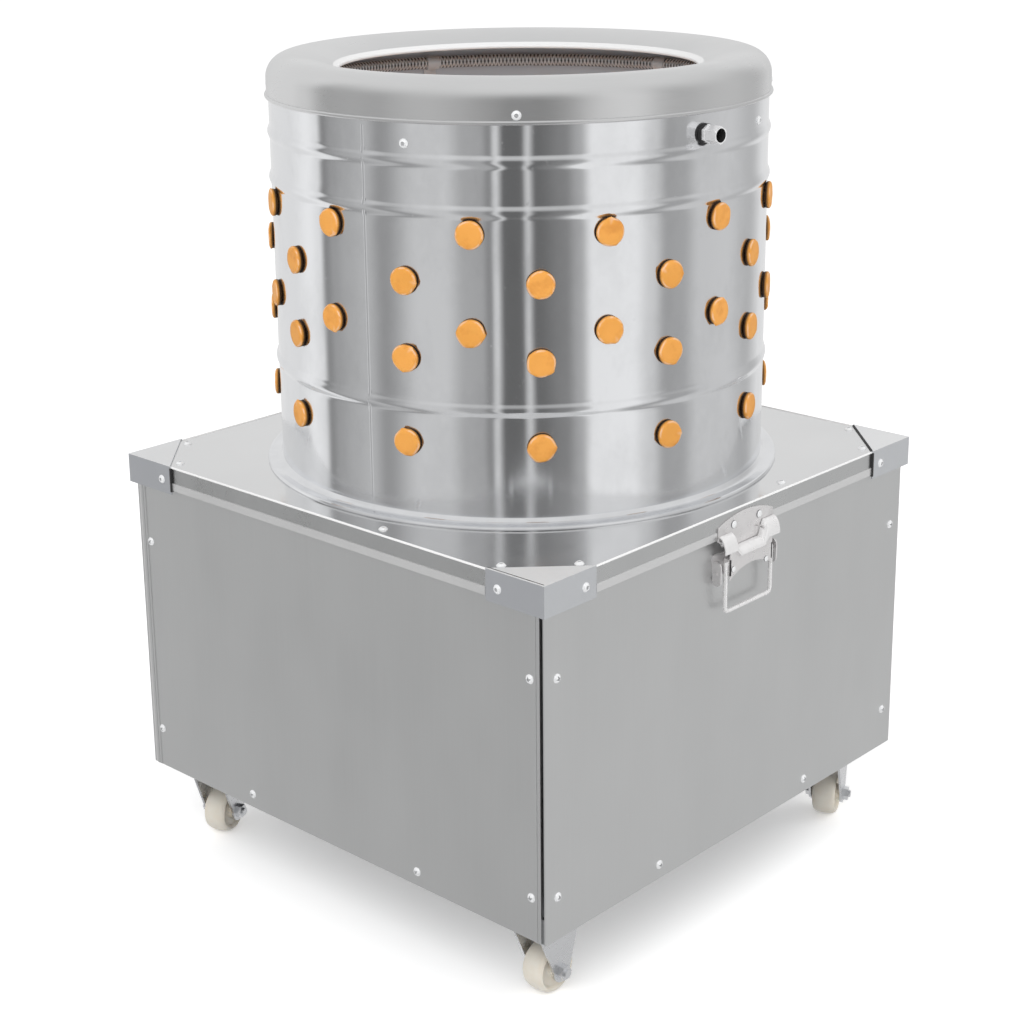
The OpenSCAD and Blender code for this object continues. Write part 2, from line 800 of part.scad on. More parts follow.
// Bent strap under the chute: its foot stands on the frame's side rail
module chute_leg(side, strap_h) {
    mirror([side < 0 ? 1 : 0, 0, 0]) translate([-tiny, -hanger_w / 2, 0]) {
        cube([hanger_t, hanger_w, strap_h]);
        cube([rail_w, hanger_w, hanger_t]);
    }
}

// Box of the controls, let into the rear panel
module switch_box() {
    color(dark) translate([switch_x, half, switch_z]) rotate([-90, 0, 0]) difference() {
        union() {
            block(switch_w + 2 * bezel, switch_h + 2 * bezel, bezel_t);
            translate([0, 0, -switch_depth]) block(switch_w, switch_h, switch_depth + tiny);
        }
        for (side = [-1, 1]) translate([0, side * button_gap / 2, -button_travel - 9])
            cylinder(r = button_d / 2 + gap, h = 30);
    }
}

module push_button(up, tone) {
    color(tone) translate([switch_x, half - button_travel - 6, switch_z + up * button_gap / 2])
        rotate([-90, 0, 0])
        cylinder(d = button_d, h = button_travel + 6 + bezel_t + button_len);
}

module start_button() {
    push_button(1, [0.15, 0.55, 0.25]);
}

module stop_button() {
    push_button(-1, [0.75, 0.12, 0.10]);
}

module cable_gland() {
    nut_t = 5;
    color(black_rubber) translate([switch_x, half, gland_z]) rotate([-90, 0, 0]) difference() {
        union() {
            cylinder(d = gland_nut, h = nut_t, $fn = 6);
            translate([0, 0, nut_t - tiny]) cylinder(d = gland_d + 2, h = gland_out - nut_t);
            translate([0, 0, -panel_t - 2 * nut_t]) cylinder(d = gland_d, h = panel_t + 2 * nut_t + tiny);
            translate([0, 0, -panel_t - nut_t]) cylinder(d = gland_nut - 2, h = nut_t, $fn = 6);
        }
        translate([0, 0, -2 * gland_out]) cylinder(d = gland_bore, h = 4 * gland_out);
    }
}

// Latch base on the front panel, with two ears, the pin and two rivets
module latch_base() {
    color(zinc) {
        difference() {
            translate([-base_w / 2, latch_face - base_t, base_low])
                cube([base_w, base_t, base_high - base_low]);
            for (side = [-1, 1]) translate([side * base_rivet_x, latch_face + cut, base_rivet_z])
                rotate([90, 0, 0])
                cylinder(d = screw_hole_d, h = base_t + 2 * cut, $fn = 32);
        }
        for (side = [-1, 1]) translate([side * (base_w / 2 - ear_t / 2), 0, lever_pin_z]) difference() {
            union() {
                translate([-ear_t / 2, lever_pin_y - base_ear_r, -base_ear_z])
                    cube([ear_t, latch_face - base_t + tiny - lever_pin_y + base_ear_r, 2 * base_ear_z]);
                for (z = [-base_ear_z, base_ear_z]) translate([-ear_t / 2, lever_pin_y, z]) rotate([0, 90, 0])
                    cylinder(r = base_ear_r, h = ear_t);
            }
            translate([-ear_t, lever_pin_y, 0]) rotate([0, 90, 0])
                cylinder(r = lever_pin_d / 2 + tiny, h = 2 * ear_t, $fn = 32);
        }
        translate([-base_w / 2 - 1, lever_pin_y, lever_pin_z]) rotate([0, 90, 0])
            cylinder(d = lever_pin_d, h = base_w + 2, $fn = 32);
        for (side = [-1, 1]) translate([side * base_rivet_x, latch_face - base_t - tiny, base_rivet_z])
            rotate([90, 0, 0])
            dome_rivet(8, 1.6, base_t + panel_t + 2);
    }
}

// Rivet along +Z with a domed head, standing on z = 0
module dome_rivet(head_d, head_t, length) {
    sphere_r = (head_d * head_d / 4 + head_t * head_t) / (2 * head_t);
    rotate_extrude($fn = 32) intersection() {
        translate([0, head_t - sphere_r]) circle(r = sphere_r, $fn = 96);
        square([head_d / 2, head_t]);
    }
    translate([0, 0, -length]) cylinder(d = screw_d, h = length + tiny, $fn = 32);
}

// Lever plate with two claws over the strike's roll, an arched lower edge and two ears
module latch_lever() {
    plate_top_z = claw_z - claw_out + 0.5;
    plate_low_z = lever_low_z;
    arch_r = 62;
    color(zinc) {
        difference() {
            union() {
                translate([-lever_w / 2, lever_y - lever_t / 2, plate_low_z])
                    cube([lever_w, lever_t, plate_top_z - plate_low_z]);
                for (side = [-1, 1]) translate([side * (lever_w / 2 - ear_t / 2), 0, 0]) lever_ear();
                for (side = [-1, 1]) translate([side * claw_x, claw_y, claw_z]) claw();
                for (side = [-1, 1])
                    translate([side * claw_x - claw_w / 2, lever_y - lever_t / 2, lid_top - 40])
                    cube([claw_w, lever_t, plate_top_z - lid_top + 40]);
            }
            translate([-tongue_w / 2 - 2, lever_y - 10, tongue_z - strike_roll - 1.5])
                cube([tongue_w + 4, 20, 40]);
            translate([0, lever_y - 10, plate_low_z - arch_r + 10]) rotate([-90, 0, 0])
                cylinder(r = arch_r, h = 20, $fn = 128);
        }
        translate([24, lever_y - lever_t / 2, lid_top - 59.5]) rotate([90, 0, 0])
            dome_rivet(6, 1.6, lever_t - 0.2);
    }
}

// Side ear of the lever, bored for the base's pin and for one end of the pull ring
module lever_ear() {
    difference() {
        union() {
            translate([-ear_t / 2, lever_y, lever_pin_z - ear_r])
                cube([ear_t, lever_pin_y - lever_y, ring_pivot_z - lever_pin_z + 2 * ear_r]);
            translate([-ear_t / 2, lever_pin_y, lever_pin_z]) rotate([0, 90, 0])
                cylinder(r = ear_r, h = ear_t);
        }
        translate([-ear_t, lever_pin_y, lever_pin_z]) rotate([0, 90, 0])
            cylinder(r = lever_pin_d / 2 + 0.08, h = 2 * ear_t, $fn = 32);
        translate([-ear_t, ring_pivot_y, ring_pivot_z]) rotate([0, 90, 0])
            cylinder(r = ring_wire / 2 + 0.08, h = 2 * ear_t, $fn = 32);
    }
}

// Claw: a quarter of a tube wall under the strike's roll, and a straight wall in front of it
module claw() {
    translate([-claw_w / 2, 0, 0]) rotate([90, 0, 90]) linear_extrude(claw_w) {
        intersection() {
            difference() {
                circle(r = claw_out);
                circle(r = claw_in);
            }
            translate([-claw_out - cut, -claw_out - cut]) square([claw_out + cut, claw_out + cut]);
        }
        translate([-claw_out, -tiny]) square([claw_out - claw_in, claw_wall]);
    }
}

// Pull ring: a wire bail whose bent ends sit in the lever's ears
module latch_ring() {
    low_z = ring_pivot_z - ring_len;
    end_len = ring_half - lever_w / 2 + ear_t;
    color(zinc) {
        for (side = [-1, 1]) {
            translate([side * ring_half, ring_pivot_y, low_z])
                cylinder(d = ring_wire, h = ring_len, $fn = 32);
            for (z = [low_z, ring_pivot_z])
                translate([side * ring_half, ring_pivot_y, z]) sphere(d = ring_wire, $fn = 32);
            translate([side * ring_half, ring_pivot_y, ring_pivot_z]) rotate([0, -90 * side, 0])
                cylinder(d = ring_wire, h = end_len, $fn = 32);
        }
        translate([-ring_half, ring_pivot_y, low_z]) rotate([0, 90, 0])
            cylinder(d = ring_wire, h = 2 * ring_half, $fn = 32);
    }
}

// Strike plate on the lid's lip: arched top, rolled side edges and a rolled tongue
module latch_strike() {
    arch_r = 140;
    top_z = lid_top - 4;
    color(zinc) {
        difference() {
            union() {
                translate([-strike_w / 2, strike_face - strike_t, claw_z])
                    cube([strike_w, strike_t, top_z - claw_z]);
                translate([-tongue_w / 2, claw_y, tongue_z])
                    cube([tongue_w, strike_t, claw_z - tongue_z + 2]);
                translate([-strike_w / 2, claw_y, claw_z])
                    cube([strike_w, strike_face - claw_y - strike_t + tiny, strike_t]);
            }
            difference() {
                translate([-strike_w / 2 - cut, strike_face - 2 * strike_t, top_z - 12])
                    cube([strike_w + 2 * cut, 3 * strike_t, 13]);
                translate([0, strike_face - 3 * strike_t, top_z - arch_r]) rotate([-90, 0, 0])
                    cylinder(r = arch_r, h = 5 * strike_t, $fn = 256);
            }
            for (side = [-1, 1]) translate([side * strike_rivet_x, strike_face + cut, strike_rivet_z])
                rotate([90, 0, 0])
                cylinder(d = screw_hole_d, h = strike_t + 2 * cut, $fn = 32);
        }
        for (side = [-1, 1]) translate([side * claw_x - claw_w / 2, claw_y, claw_z])
            rotate([0, 90, 0]) cylinder(r = strike_roll, h = claw_w, $fn = 48);
        translate([-tongue_w / 2, claw_y, tongue_z]) rotate([0, 90, 0])
            cylinder(r = strike_roll, h = tongue_w, $fn = 48);
        for (side = [-1, 1]) translate([side * strike_rivet_x, strike_face - strike_t - tiny, strike_rivet_z])
            rotate([90, 0, 0])
            dome_rivet(8, 2, strike_t + lid_t + 1);
    }
}

// Tube of a hinge between two places along X
module knuckle(from_x, to_x) {
    translate([from_x, hinge_y, hinge_z]) rotate([0, 90, 0]) difference() {
        cylinder(r = knuckle_r, h = to_x - from_x);
        translate([0, 0, -cut]) cylinder(r = hinge_pin_d / 2 + shaft_fit, h = to_x - from_x + 2 * cut);
    }
}

module cabinet_hinge_leaves() {
    color(zinc) for (side = [-1, 1]) translate([side * hinge_x, 0, 0]) {
        difference() {
            translate([-hinge_w / 2, half, hinge_z - leaf_h]) cube([hinge_w, leaf_t, leaf_h - 1.5]);
            for (dx = [-1, 1]) for (z = leaf_screw_z) translate([dx * hinge_w / 3, half + leaf_t + cut, z])
                rotate([90, 0, 0]) cylinder(d = screw_hole_d, h = leaf_t + 2 * cut, $fn = 32);
        }
        for (end = [-1, 1]) {
            x0 = end < 0 ? -hinge_w / 2 : hinge_w / 2 - knuckle_w;
            knuckle(x0, x0 + knuckle_w);
            translate([x0, half + tiny, hinge_z - knuckle_r]) cube([knuckle_w, hinge_y - half - 1, 2.5]);
        }
        for (dx = [-1, 1]) for (z = leaf_screw_z) translate([dx * hinge_w / 3, half + leaf_t + tiny, z])
            rotate([-90, 0, 0]) pan_screw(screw_d, leaf_t + panel_t + 3, screw_head_d, 2);
    }
}

module lid_hinge_leaves() {
    leaf_low = lid_top - lip_h + hem_h + 0.5;
    web_y = lid_half + hem_t + gap;
    color(zinc) for (side = [-1, 1]) translate([side * hinge_x, 0, 0]) {
        difference() {
            translate([-hinge_w / 2, lid_half, leaf_low]) cube([hinge_w, leaf_t, lid_top - leaf_low - 2]);
            for (dx = [-1, 1]) translate([dx * hinge_w / 3, lid_half + leaf_t + cut, upper_screw_z])
                rotate([90, 0, 0]) cylinder(d = screw_hole_d, h = leaf_t + 2 * cut, $fn = 32);
        }
        knuckle(-knuckle_w / 2 + gap, knuckle_w / 2 - gap);
        translate([-knuckle_w / 2 + gap, web_y, hinge_z + hinge_pin_d / 2 + 1])
            cube([knuckle_w - 2 * gap, leaf_t - 0.8, leaf_low - hinge_z - hinge_pin_d / 2 + 1]);
        for (dx = [-1, 1]) translate([dx * hinge_w / 3, lid_half + leaf_t + tiny, upper_screw_z])
            rotate([-90, 0, 0]) pan_screw(screw_d, leaf_t + lid_t + 1, screw_head_d, 2);
    }
}

module hinge_pins() {
    color(zinc) for (side = [-1, 1]) translate([side * hinge_x - hinge_w / 2 - 1, hinge_y, hinge_z])
        rotate([0, 90, 0])
        cylinder(d = hinge_pin_d, h = hinge_w + 2, $fn = 48);
}

// Square plates that hold the swivels, each with its kingpin
module caster_plates() {
    color(zinc) for (i = [0:3]) translate([caster_x[i], caster_y[i], caster_h - caster_plate_t]) {
        difference() {
            block(caster_plate_w, caster_plate_w, caster_plate_t);
            translate([0, 0, caster_plate_t]) caster_holes();
        }
        translate([0, 0, -swivel_t - fork_plate_t - 4])
            cylinder(d = kingpin_d, h = swivel_t + fork_plate_t + 4 + tiny);
        translate([0, 0, -swivel_t]) cylinder(d = swivel_d, h = swivel_t + tiny);
        translate([0, 0, -swivel_t - fork_plate_t - 4]) cylinder(d = kingpin_d + 6, h = 3.5);
    }
}

module caster_bolts() {
    color(zinc) for (i = [0:3]) for (sx = [-1, 1]) for (sy = [-1, 1])
        translate([caster_x[i] + sx * caster_bolt_off, caster_y[i] + sy * caster_bolt_off, 0])
            translate([0, 0, caster_h - caster_plate_t])
            mirror([0, 0, 1]) hex_bolt(caster_bolt_d, caster_plate_t + rail_t + 2, 10, 4);
}

// Places a caster's turning parts: the swivel axis is the child's Z axis
module at_caster(i) {
    translate([caster_x[i], caster_y[i], 0]) rotate([0, 0, caster_turn[i]]) children();
}

// Outline of one fork leg, seen from its side: x runs along the trail
module fork_leg_outline() {
    leg_top = swivel_z - gap;
    tip_r = 11;
    front_x = -swivel_d / 2 + 2;
    back_x = swivel_d / 2 + 8;
    translate([caster_trail, wheel_d / 2]) circle(r = tip_r);
    polygon([[front_x, leg_top], [front_x, leg_top - 10], [caster_trail - tip_r, wheel_d / 2 + 2],
        [caster_trail - tip_r + 0.4, wheel_d / 2 - 3], [caster_trail, wheel_d / 2 - 2],
        [caster_trail + tip_r - 0.4, wheel_d / 2 - 3], [back_x, leg_top - 14], [back_x, leg_top]]);
}

// Fork: a crown under the swivel and two legs beside the wheel
module caster_fork(i) {
    crown_w = fork_gap + 2 * fork_t;
    color(zinc) at_caster(i) difference() {
        union() {
            translate([-swivel_d / 2 + 2, -crown_w / 2, swivel_z - gap - fork_plate_t])
                cube([swivel_d + 6, crown_w, fork_plate_t]);
            for (side = [-1, 1]) translate([0, side > 0 ? crown_w / 2 : -fork_gap / 2, 0]) rotate([90, 0, 0])
                linear_extrude(fork_t) fork_leg_outline();
        }
        translate([0, 0, swivel_z - 20]) cylinder(r = kingpin_d / 2 + shaft_fit, h = 40);
        translate([caster_trail, crown_w, wheel_d / 2]) rotate([90, 0, 0])
            cylinder(r = axle_d / 2 + shaft_fit, h = 2 * crown_w);
    }
}

module caster_wheel(i) {
    hub_half = fork_gap / 2 - gap;
    color(wheel_cream) at_caster(i) translate([caster_trail, 0, wheel_d / 2]) rotate([90, 0, 0])
        difference() {
            union() {
                rotate_extrude() for (side = [0, 1]) mirror([0, side]) wheel_half();
                translate([0, 0, -hub_half]) cylinder(d = wheel_hub_d, h = 2 * hub_half);
            }
            translate([0, 0, -wheel_w]) cylinder(r = axle_d / 2 + shaft_fit, h = 2 * wheel_w);
        }
}

// Half section of a wheel: a web, and a tread with rounded edges
module wheel_half() {
    wheel_r = wheel_d / 2;
    tread_half = wheel_w / 2;
    polygon([[0, -tiny], [0, tread_half - 2], [wheel_r - 7, tread_half - 2], [wheel_r - 5, tread_half],
        [wheel_r - 3, tread_half], [wheel_r - 1, tread_half - 1], [wheel_r, tread_half - 4],
        [wheel_r, -tiny]]);
}

// Axle bolt with a hexagon head and nut outside the fork
module caster_axle(i) {
    crown_w = fork_gap + 2 * fork_t;
    color(zinc) at_caster(i) translate([caster_trail, 0, wheel_d / 2]) rotate([90, 0, 0]) {
        translate([0, 0, -crown_w / 2]) cylinder(d = axle_d, h = crown_w + 8);
        translate([0, 0, crown_w / 2 + tiny]) cylinder(d = 13 / cos(30), h = 5.5, $fn = 6);
        translate([0, 0, -crown_w / 2 - 4.5]) cylinder(d = 13 / cos(30), h = 4.5 + 0.01, $fn = 6);
    }
}

module front_caster_fork() { caster_fork(0); }
module front_caster_wheel() { caster_wheel(0); }
module front_caster_axle() { caster_axle(0); }
module left_caster_fork() { caster_fork(1); }
module left_caster_wheel() { caster_wheel(1); }
module left_caster_axle() { caster_axle(1); }
module right_caster_fork() { caster_fork(2); }
module right_caster_wheel() { caster_wheel(2); }
module right_caster_axle() { caster_axle(2); }
module back_caster_fork() { caster_fork(3); }
module back_caster_wheel() { caster_wheel(3); }
module back_caster_axle() { caster_axle(3); }

module motor_shaft() {
    color(steel) translate([0, -drive_centres, shaft_bottom])
        cylinder(d = motor_shaft_d, h = mount_top + motor_len * 0.4 - shaft_bottom);
}

// Shaft with a stud for the plate, and the cap nut on the stud
module main_shaft() {
    shoulder_z = plate_top - plate_t;
    stud_out = 20;
    nut_h = 13;
    cap_h = 9;
    color(steel) {
        translate([0, 0, shaft_bottom]) cylinder(d = shaft_d, h = shoulder_z - shaft_bottom);
        translate([0, 0, shoulder_z - tiny]) cylinder(d = stud_d, h = plate_t + stud_out + tiny);
        translate([0, 0, plate_top + tiny]) difference() {
            union() {
                cylinder(d = 24 / cos(30), h = nut_h, $fn = 6);
                cylinder(d = 22, h = nut_h + cap_h);
            }
            translate([0, 0, -cut]) cylinder(r = stud_d / 2 + tiny, h = stud_out + cut + tiny);
        }
    }
}

module plate_hub() {
    color(motor_grey) translate([0, 0, hub_top - hub_flange_t]) difference() {
        union() {
            cylinder(d = hub_d, h = hub_flange_t);
            translate([0, 0, hub_flange_t - boss_h]) cylinder(d = boss_d, h = boss_h);
        }
        translate([0, 0, -boss_h]) cylinder(r = shaft_d / 2 + 0.02, h = 2 * boss_h);
    }
}

module feather_plate() {
    color(steel) translate([0, 0, hub_top]) difference() {
        union() {
            cylinder(r = plate_r, h = plate_t, $fn = 128);
            translate([0, 0, plate_t - plate_rim]) ring(plate_r, plate_r - plate_t, plate_rim, $fn = 128);
        }
        translate([0, 0, -cut]) cylinder(r = stud_d / 2 + 0.02, h = plate_t + 2 * cut);
        at_plate_fingers() translate([0, 0, -cut])
            cylinder(d = finger_hole_d, h = plate_t + 2 * cut, $fn = 48);
    }
}

// Places a child at each finger of the plate
module at_plate_fingers() {
    for (row = finger_rings) for (i = [0:row[1] - 1]) rotate([0, 0, i * 360 / row[1] + row[0]])
        translate([row[0], 0, 0])
        children();
}

// Rubber finger along +Z: its head lies below z = 0, and the sheet is between 0 and sheet
module finger(sheet) {
    neck_r = finger_hole_d / 2 - 0.2;
    collar_z = sheet + 0.3;
    head_r = finger_head_d / 2;
    tip_r = finger_tip_d / 2;
    tip_z = sheet + finger_len;
    rotate_extrude($fn = 48) polygon([[0, -finger_head_t - gap], [head_r - 1.5, -finger_head_t - gap],
        [head_r, -finger_head_t + 1 - gap], [head_r, -gap], [neck_r, -gap], [neck_r, collar_z],
        [neck_r + 2, collar_z + 0.8], [neck_r + 1.5, collar_z + 5], [neck_r, collar_z + 7],
        [tip_r, tip_z - 3], [tip_r - 3, tip_z], [0, tip_z]]);
}

module plate_fingers() {
    color(finger_orange) translate([0, 0, hub_top]) at_plate_fingers() finger(plate_t);
}

// Places a child at each wall finger, with +Z of the child pointing to the drum's axis
module at_wall_fingers() {
    for (shell = [0, 180]) for (i = [0:finger_columns - 1]) {
        heights = i % 2 == 0 ? [trio_low, trio_mid, trio_high] : [pair_low, pair_high];
        for (z = heights) rotate([0, 0, finger_phase + shell + i * finger_step])
            translate([drum_r, 0, lid_top + z]) rotate([0, -90, 0]) children();
    }
}

module wall_fingers() {
    color(finger_orange) at_wall_fingers() finger(drum_t);
}

module lid() {
    color(satin) difference() {
        union() {
            translate([-lid_half, -lid_half, lid_under]) cube([lid_side, lid_side, lid_t]);
            four_turns() {
                translate([-lid_half, -lid_half, lid_top - lip_h]) cube([lid_side, lid_t, lip_h]);
                translate([-lid_half + brace_leg + 1, -lid_half - hem_t, lid_top - lip_h])
                    cube([lid_side - 2 * brace_leg - 2, hem_t + tiny, hem_h]);
            }
        }
        translate([-strike_w / 2 - 1, -lid_half - hem_t - cut, lid_top - lip_h - cut])
            cube([strike_w + 2, hem_t + cut, hem_h + 2 * cut]);
        translate([0, 0, lid_under - cut]) cylinder(r = drum_r + gap, h = lid_t + 2 * cut, $fn = 128);
        at_lid_screws() translate([0, 0, -lid_t - stiffener_t - cut])
            cylinder(d = screw_hole_d, h = lid_t + stiffener_t + 2 * cut, $fn = 32);
        at_skirt_screws() translate([0, 0, -lid_t - cut])
            cylinder(d = screw_hole_d, h = lid_t + 2 * cut, $fn = 32);
        for (side = [-1, 1]) translate([side * strike_rivet_x, strike_face + lid_t + cut, strike_rivet_z])
            rotate([90, 0, 0])
            cylinder(d = screw_hole_d, h = lid_t + 2 * cut, $fn = 32);
        for (side = [-1, 1]) for (dx = [-1, 1])
            translate([side * hinge_x + dx * hinge_w / 3, lid_half + cut, upper_screw_z])
            rotate([90, 0, 0]) cylinder(d = screw_hole_d, h = lid_t + 2 * cut, $fn = 32);
    }
}

module lid_stiffener() {
    outer = lid_half - lid_t - gap;
    color(satin) difference() {
        translate([0, 0, lid_under - stiffener_t]) block(2 * outer, 2 * outer, stiffener_t);
        translate([0, 0, lid_under - stiffener_t - cut])
            block(2 * (outer - stiffener_w), 2 * (outer - stiffener_w), stiffener_t + 2 * cut);
        translate([0, 0, lid_under - stiffener_t - cut]) cylinder(r = drum_r + 2, h = stiffener_t + 2 * cut);
        at_lid_screws() translate([0, 0, -lid_t - stiffener_t - cut])
            cylinder(d = screw_hole_d, h = lid_t + stiffener_t + 2 * cut, $fn = 32);
    }
}

// Triangular corner caps: a flat top and two skirts, bored for their screws
module corner_braces() {
    color(satin) difference() {
        four_turns() corner_brace();
        at_skirt_screws() translate([0, 0, -brace_t - cut])
            cylinder(d = screw_hole_d, h = 2 * brace_t + 2 * cut, $fn = 32);
    }
}

module corner_brace() {
    leg = brace_leg + brace_t;
    translate([-brace_half, -brace_half, lid_top])
        linear_extrude(brace_t) polygon([[0, 0], [leg, 0], [0, leg]]);
    translate([-brace_half, -brace_half, lid_top - brace_h]) cube([leg, brace_t, brace_h + brace_t]);
    translate([-brace_half, -brace_half, lid_top - brace_h]) cube([brace_t, leg, brace_h + brace_t]);
}

// Places a child at each screw on the lid's top, +Z pointing up from the sheet
module at_lid_screws() {
    corner_in = 15;
    corner_along = 64;
    side_along = 78;
    side_in = 13;
    four_turns() {
        translate([-lid_half + corner_in, -lid_half + corner_along, lid_top]) children();
        translate([-lid_half + corner_along, -lid_half + corner_in, lid_top]) children();
        translate([side_along, -lid_half + side_in, lid_top]) children();
    }
}

// Places a child at each screw of the brace skirts, +Z pointing out of the lip
module at_skirt_screws() {
    along = 55;
    drop = 15;
    four_turns() for (side = [-1, 1]) translate([side * (brace_half - along), -lid_half, lid_top - drop])
        rotate([90, 0, 0])
        children();
}

module lid_screws() {
    color(zinc) {
        at_lid_screws() pan_screw(screw_d, lid_t + stiffener_t, screw_head_d, screw_head_t);
        at_skirt_screws() translate([0, 0, brace_t])
            pan_screw(screw_d, brace_t + lid_t + 1, screw_head_d, screw_head_t);
    }
}

// Half section of the drum's outer or inner face, drawn in by the given amount
module drum_half(inset, low, high) {
    bead_r = (bead_w * bead_w / 4 + bead_out * bead_out) / (2 * bead_out);
    translate([0, low]) square([drum_r - inset, high - low]);
    for (z = [bead_low, bead_mid, bead_top]) translate([0, lid_top + z]) intersection() {
        translate([drum_r + bead_out - bead_r, 0]) circle(r = bead_r - inset, $fn = 128);
        translate([drum_r - bead_r, -bead_w]) square([2 * bead_r, 2 * bead_w]);
    }
}

// Drum with rolled beads, a welded foot ring and a hole for each finger
module drum_shell() {
    weld = 5;
    color(steel) difference() {
        rotate_extrude($fn = 128) {
            difference() {
                drum_half(0, drum_foot, lid_top + drum_h);
                drum_half(drum_t, drum_foot - cut, lid_top + drum_h + cut);
            }
            translate([drum_r - tiny, lid_top]) square([foot_w + tiny, foot_t]);
            translate([drum_r, lid_top + foot_t])
                polygon([[-tiny, -tiny], [weld, -tiny], [-tiny, weld]]);
        }
        at_wall_fingers() translate([0, 0, -5]) cylinder(d = finger_hole_d, h = 12, $fn = 48);
        at_rim_screws() translate([0, 0, -8]) cylinder(d = screw_hole_d, h = 12, $fn = 32);
        at_clip_screws() translate([0, 0, -6]) cylinder(d = screw_hole_d, h = 8, $fn = 32);
        at_inlet() translate([0, 0, -8]) cylinder(d = inlet_thread_d + 0.4, h = 12);
    }
}

// Filled half section under the cap's dome, drawn in by the given amount
module cap_half(inset, low, mouth) {
    translate([mouth, low]) square([cap_skirt_r - inset - mouth, lid_top + cap_axis_z - low]);
    translate([cap_crown_r, lid_top + cap_axis_z]) intersection() {
        circle(r = cap_shoulder - inset, $fn = 128);
        translate([-tiny, -tiny]) square([cap_shoulder, cap_shoulder]);
    }
    intersection() {
        translate([cap_crown_r, lid_top + cap_crest - cap_big_r]) circle(r = cap_big_r - inset, $fn = 360);
        translate([mouth, low]) square([cap_crown_r - mouth + tiny, cap_crest + lid_top - low]);
    }
}

// Domed ring over the drum's edge, with a beaded skirt and a rolled mouth
module rim_cap() {
    mouth_bead_z = lid_top + cap_crest - cap_fall;
    color(satin) difference() {
        rotate_extrude($fn = 128) {
            difference() {
                cap_half(0, lid_top + cap_foot, mouth_r);
                cap_half(cap_t, lid_top + cap_foot - cut, mouth_r - 10);
            }
            translate([cap_skirt_r, lid_top + cap_foot + cap_bead]) circle(r = cap_bead, $fn = 32);
            translate([mouth_r + 1, mouth_bead_z - cap_t]) circle(r = cap_bead, $fn = 32);
        }
        translate([0, 0, lid_top + cap_foot - cut])
            cylinder(r = drum_r + gap, h = 2 * cap_bead + 3, $fn = 128);
        at_rim_screws() translate([0, 0, -8]) cylinder(d = screw_hole_d, h = 12, $fn = 32);
    }
}

// Places a child on the cap's skirt at each of its four screws
module at_rim_screws() {
    for (i = [0:3]) rotate([0, 0, rim_screw_phase + 90 * i]) translate([cap_skirt_r, 0, rim_screw_z])
        rotate([0, 90, 0])
        children();
}

// Places a child on the drum at each clip screw
module at_clip_screws() {
    for (a = clip_angles) rotate([0, 0, a]) translate([drum_r, 0, clip_screw_z]) rotate([0, 90, 0])
        children();
}

module rim_screws() {
    color(zinc) {
        at_rim_screws() translate([0, 0, tiny])
            pan_screw(screw_d, cap_t + drum_t + 2, screw_head_d, screw_head_t);
        at_clip_screws() translate([0, 0, tiny])
            pan_screw(screw_d, drum_t + clip_t + 2, screw_head_d, screw_head_t);
    }
}

// Ring of hose under the cap, with spray holes that point at the birds
module spray_hose() {
    holes = 24;
    color(dark) translate([0, 0, lid_top + hose_z]) difference() {
        rotate([0, 0, hose_from]) rotate_extrude(angle = hose_sweep, $fn = 128)
            translate([hose_r, 0]) difference() {
            circle(d = hose_d, $fn = 32);
            circle(d = hose_bore, $fn = 32);
        }
        for (i = [1:holes]) rotate([0, 0, hose_from + i * hose_sweep / (holes + 1)]) translate([hose_r, 0, 0])
            rotate([0, -125, 0]) cylinder(d = 1.6, h = hose_d, $fn = 16);
    }
}

// Strap round the hose, with a tab down the drum's wall to its screw
module hose_clips() {
    color(zinc) for (a = clip_angles) rotate([0, 0, a]) difference() {
        union() {
            translate([hose_r, clip_w / 2, lid_top + hose_z]) rotate([90, 0, 0])
                cylinder(r = hose_d / 2 + clip_t, h = clip_w);
            translate([clip_face - clip_t - 0.1, -clip_w / 2, clip_screw_z - 7])
                cube([clip_t, clip_w, lid_top + hose_z - clip_screw_z + 7]);
        }
        translate([hose_r, clip_w, lid_top + hose_z]) rotate([90, 0, 0])
            cylinder(r = hose_d / 2 + tiny, h = 2 * clip_w);
        translate([drum_r - 12, 0, clip_screw_z]) rotate([0, 90, 0])
            cylinder(d = screw_hole_d, h = 20, $fn = 32);
    }
}

// Places a child at the water inlet, +Z pointing out of the drum
module at_inlet() {
    rotate([0, 0, inlet_angle]) translate([drum_r, 0, lid_top + inlet_z]) rotate([0, 90, 0]) children();
}

// Six-sided outer end of the inlet, chamfered to a round face
module inlet_body(length) {
    intersection() {
        translate([0, 0, -tiny]) cylinder(d = inlet_hex - 1, h = length + tiny, $fn = 6);
        rotate_extrude() polygon([[0, -1], [inlet_hex / 2, -1], [inlet_hex / 2, length - 3],
            [inlet_socket_d / 2 + 1.7, length], [0, length]]);
    }
}

